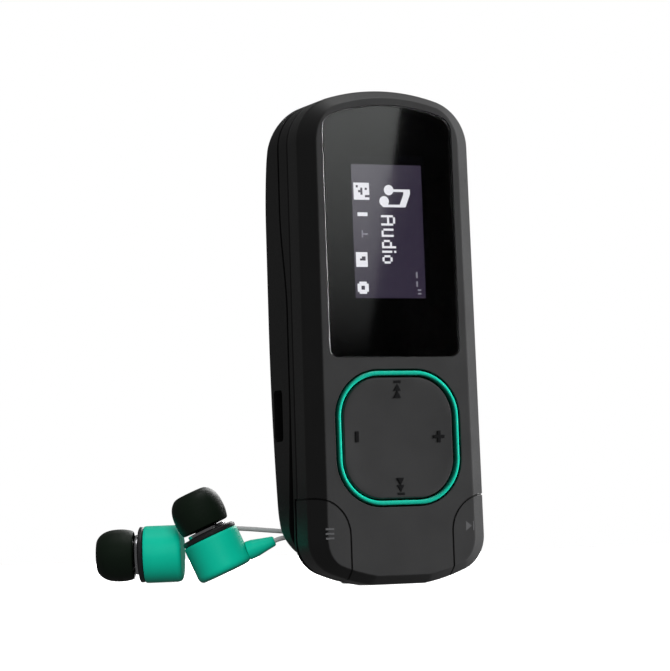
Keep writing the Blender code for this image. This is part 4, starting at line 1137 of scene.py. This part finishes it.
def window_reflections():
    """A softbox whose slanting edge shows in the window, and the dark room about it."""
    depth = -600
    edge = ((-30, -10), (-14.1, -10), (6.7, 100), (-30, 100))
    glow, tree, shader = material("softbox_glow", Base_Color=(0, 0, 0, 1), Specular_IOR_Level=0,
                                  Emission_Color=(0.97, 1.0, 0.98, 1))
    height = new_node(tree, "SeparateXYZ")
    link(tree, new_node(tree, "TexCoord").outputs["Object"], height.inputs["Vector"])
    fade = new_node(tree, "MapRange", From_Min=mirrored_in_window(0, 37.3, depth)[2] * MM,
                    From_Max=mirrored_in_window(0, 78, depth)[2] * MM, To_Min=0.0, To_Max=1.09)
    link(tree, height.outputs["Z"], fade.inputs["Value"])
    link(tree, fade.outputs["Result"], shader.inputs["Emission Strength"])
    card("softbox", [mirrored_in_window(x, z, depth) for x, z in edge], glow)
    dark = ((-60, -40), (60, -40), (60, 140), (-60, 140))
    card("dark_room", [mirrored_in_window(x, z, depth - 5) for x, z in dark], plain("dark_card", 0))


def linked(lamp, items):
    """Lets a lamp light only these items."""
    catching = bpy.data.collections.new(lamp.name + "_catches")
    for item in items:
        catching.objects.link(item)
    lamp.light_linking.receiver_collection = catching


def soft_light():
    """Strong light for the dark player and its floor, and weaker light for the pale soft parts."""
    shapes = [item for item in bpy.data.objects if item.type in ("MESH", "CURVE")]
    words = ("earphone", "lead", "splitter", "plug", "hank")
    pale = [item for item in shapes if any(word in item.name for word in words)]
    dark = [item for item in shapes if item not in pale]
    aim, low = (0, 0, 0.04), (-0.02, 0.02, 0.005)
    linked(area_light("key", (0.95, -0.3, 0.22), aim, (0.4, 0.7), 50), dark)
    linked(area_light("back", (0.25, 0.9, 0.45), aim, (0.6, 0.6), 22), dark)
    linked(area_light("low_front", (-0.2, -0.45, 0.22), low, (0.4, 0.4), 3.2), pale)
    linked(area_light("low_back", (0.45, 0.45, 0.4), low, (0.4, 0.4), 4, True), pale)
    area_light("top", (0.15, -0.15, 1.0), aim, (0.6, 0.6), 3, True)


def stage():
    """A white floor that rises a little under the earphones, and soft light from the right."""
    rows = []
    for s, rise in ((-900, 1.5), (-60, 1.5), (-40, 1.5), (-32, 1.35), (-26, 0.95), (-20, 0.45),
                    (-16, 0.12), (-12, 0.0), (900, 0.0)):
        rows.append([tuple(s * SIDEWAYS + f * FORWARD + (rise - 0.03) * UP) for f in (-900, 900)])
    points = [p for row in rows for p in row]
    faces = [(2 * i, 2 * i + 1, 2 * i + 3, 2 * i + 2) for i in range(len(rows) - 1)]
    floor = from_faces("floor", points, faces)
    floor.data.materials.append(plain("pale_floor", 0.5, 0.9))
    floor.visible_diffuse = False
    floor.visible_glossy = False
    soft_light()
    window_reflections()
    world = bpy.data.worlds.new("studio")
    bpy.context.scene.world = world
    world.use_nodes = True
    tree = world.node_tree
    seen = filled(tree.nodes["Background"], Color=WHITE, Strength=1.0)
    lighting = new_node(tree, "Background", Color=WHITE, Strength=0.1)
    mix = new_node(tree, "MixShader")
    link(tree, new_node(tree, "LightPath").outputs["Is Camera Ray"], mix.inputs["Fac"])
    link(tree, lighting.outputs["Background"], mix.inputs[1])
    link(tree, seen.outputs["Background"], mix.inputs[2])
    link(tree, mix.outputs["Shader"], tree.nodes["World Output"].inputs["Surface"])
    bpy.context.scene.view_settings.view_transform = "Standard"


make_camera()
make_cords()
hank_tie()
earphone("left", LEFT_BUD_AT, -SIDEWAYS, left_relief())
earphone("right", RIGHT_BUD_AT, right_bud_axis(), right_relief())
front_shell()
corner_keys()
# painted shade: dark liners in the corner key seams
seam_shade_liners()
window()
pad()
symbols()
display()
rear_shell()
clip_shell()
clip_grip()
carried()
stage()

bpy.context.view_layer.update()
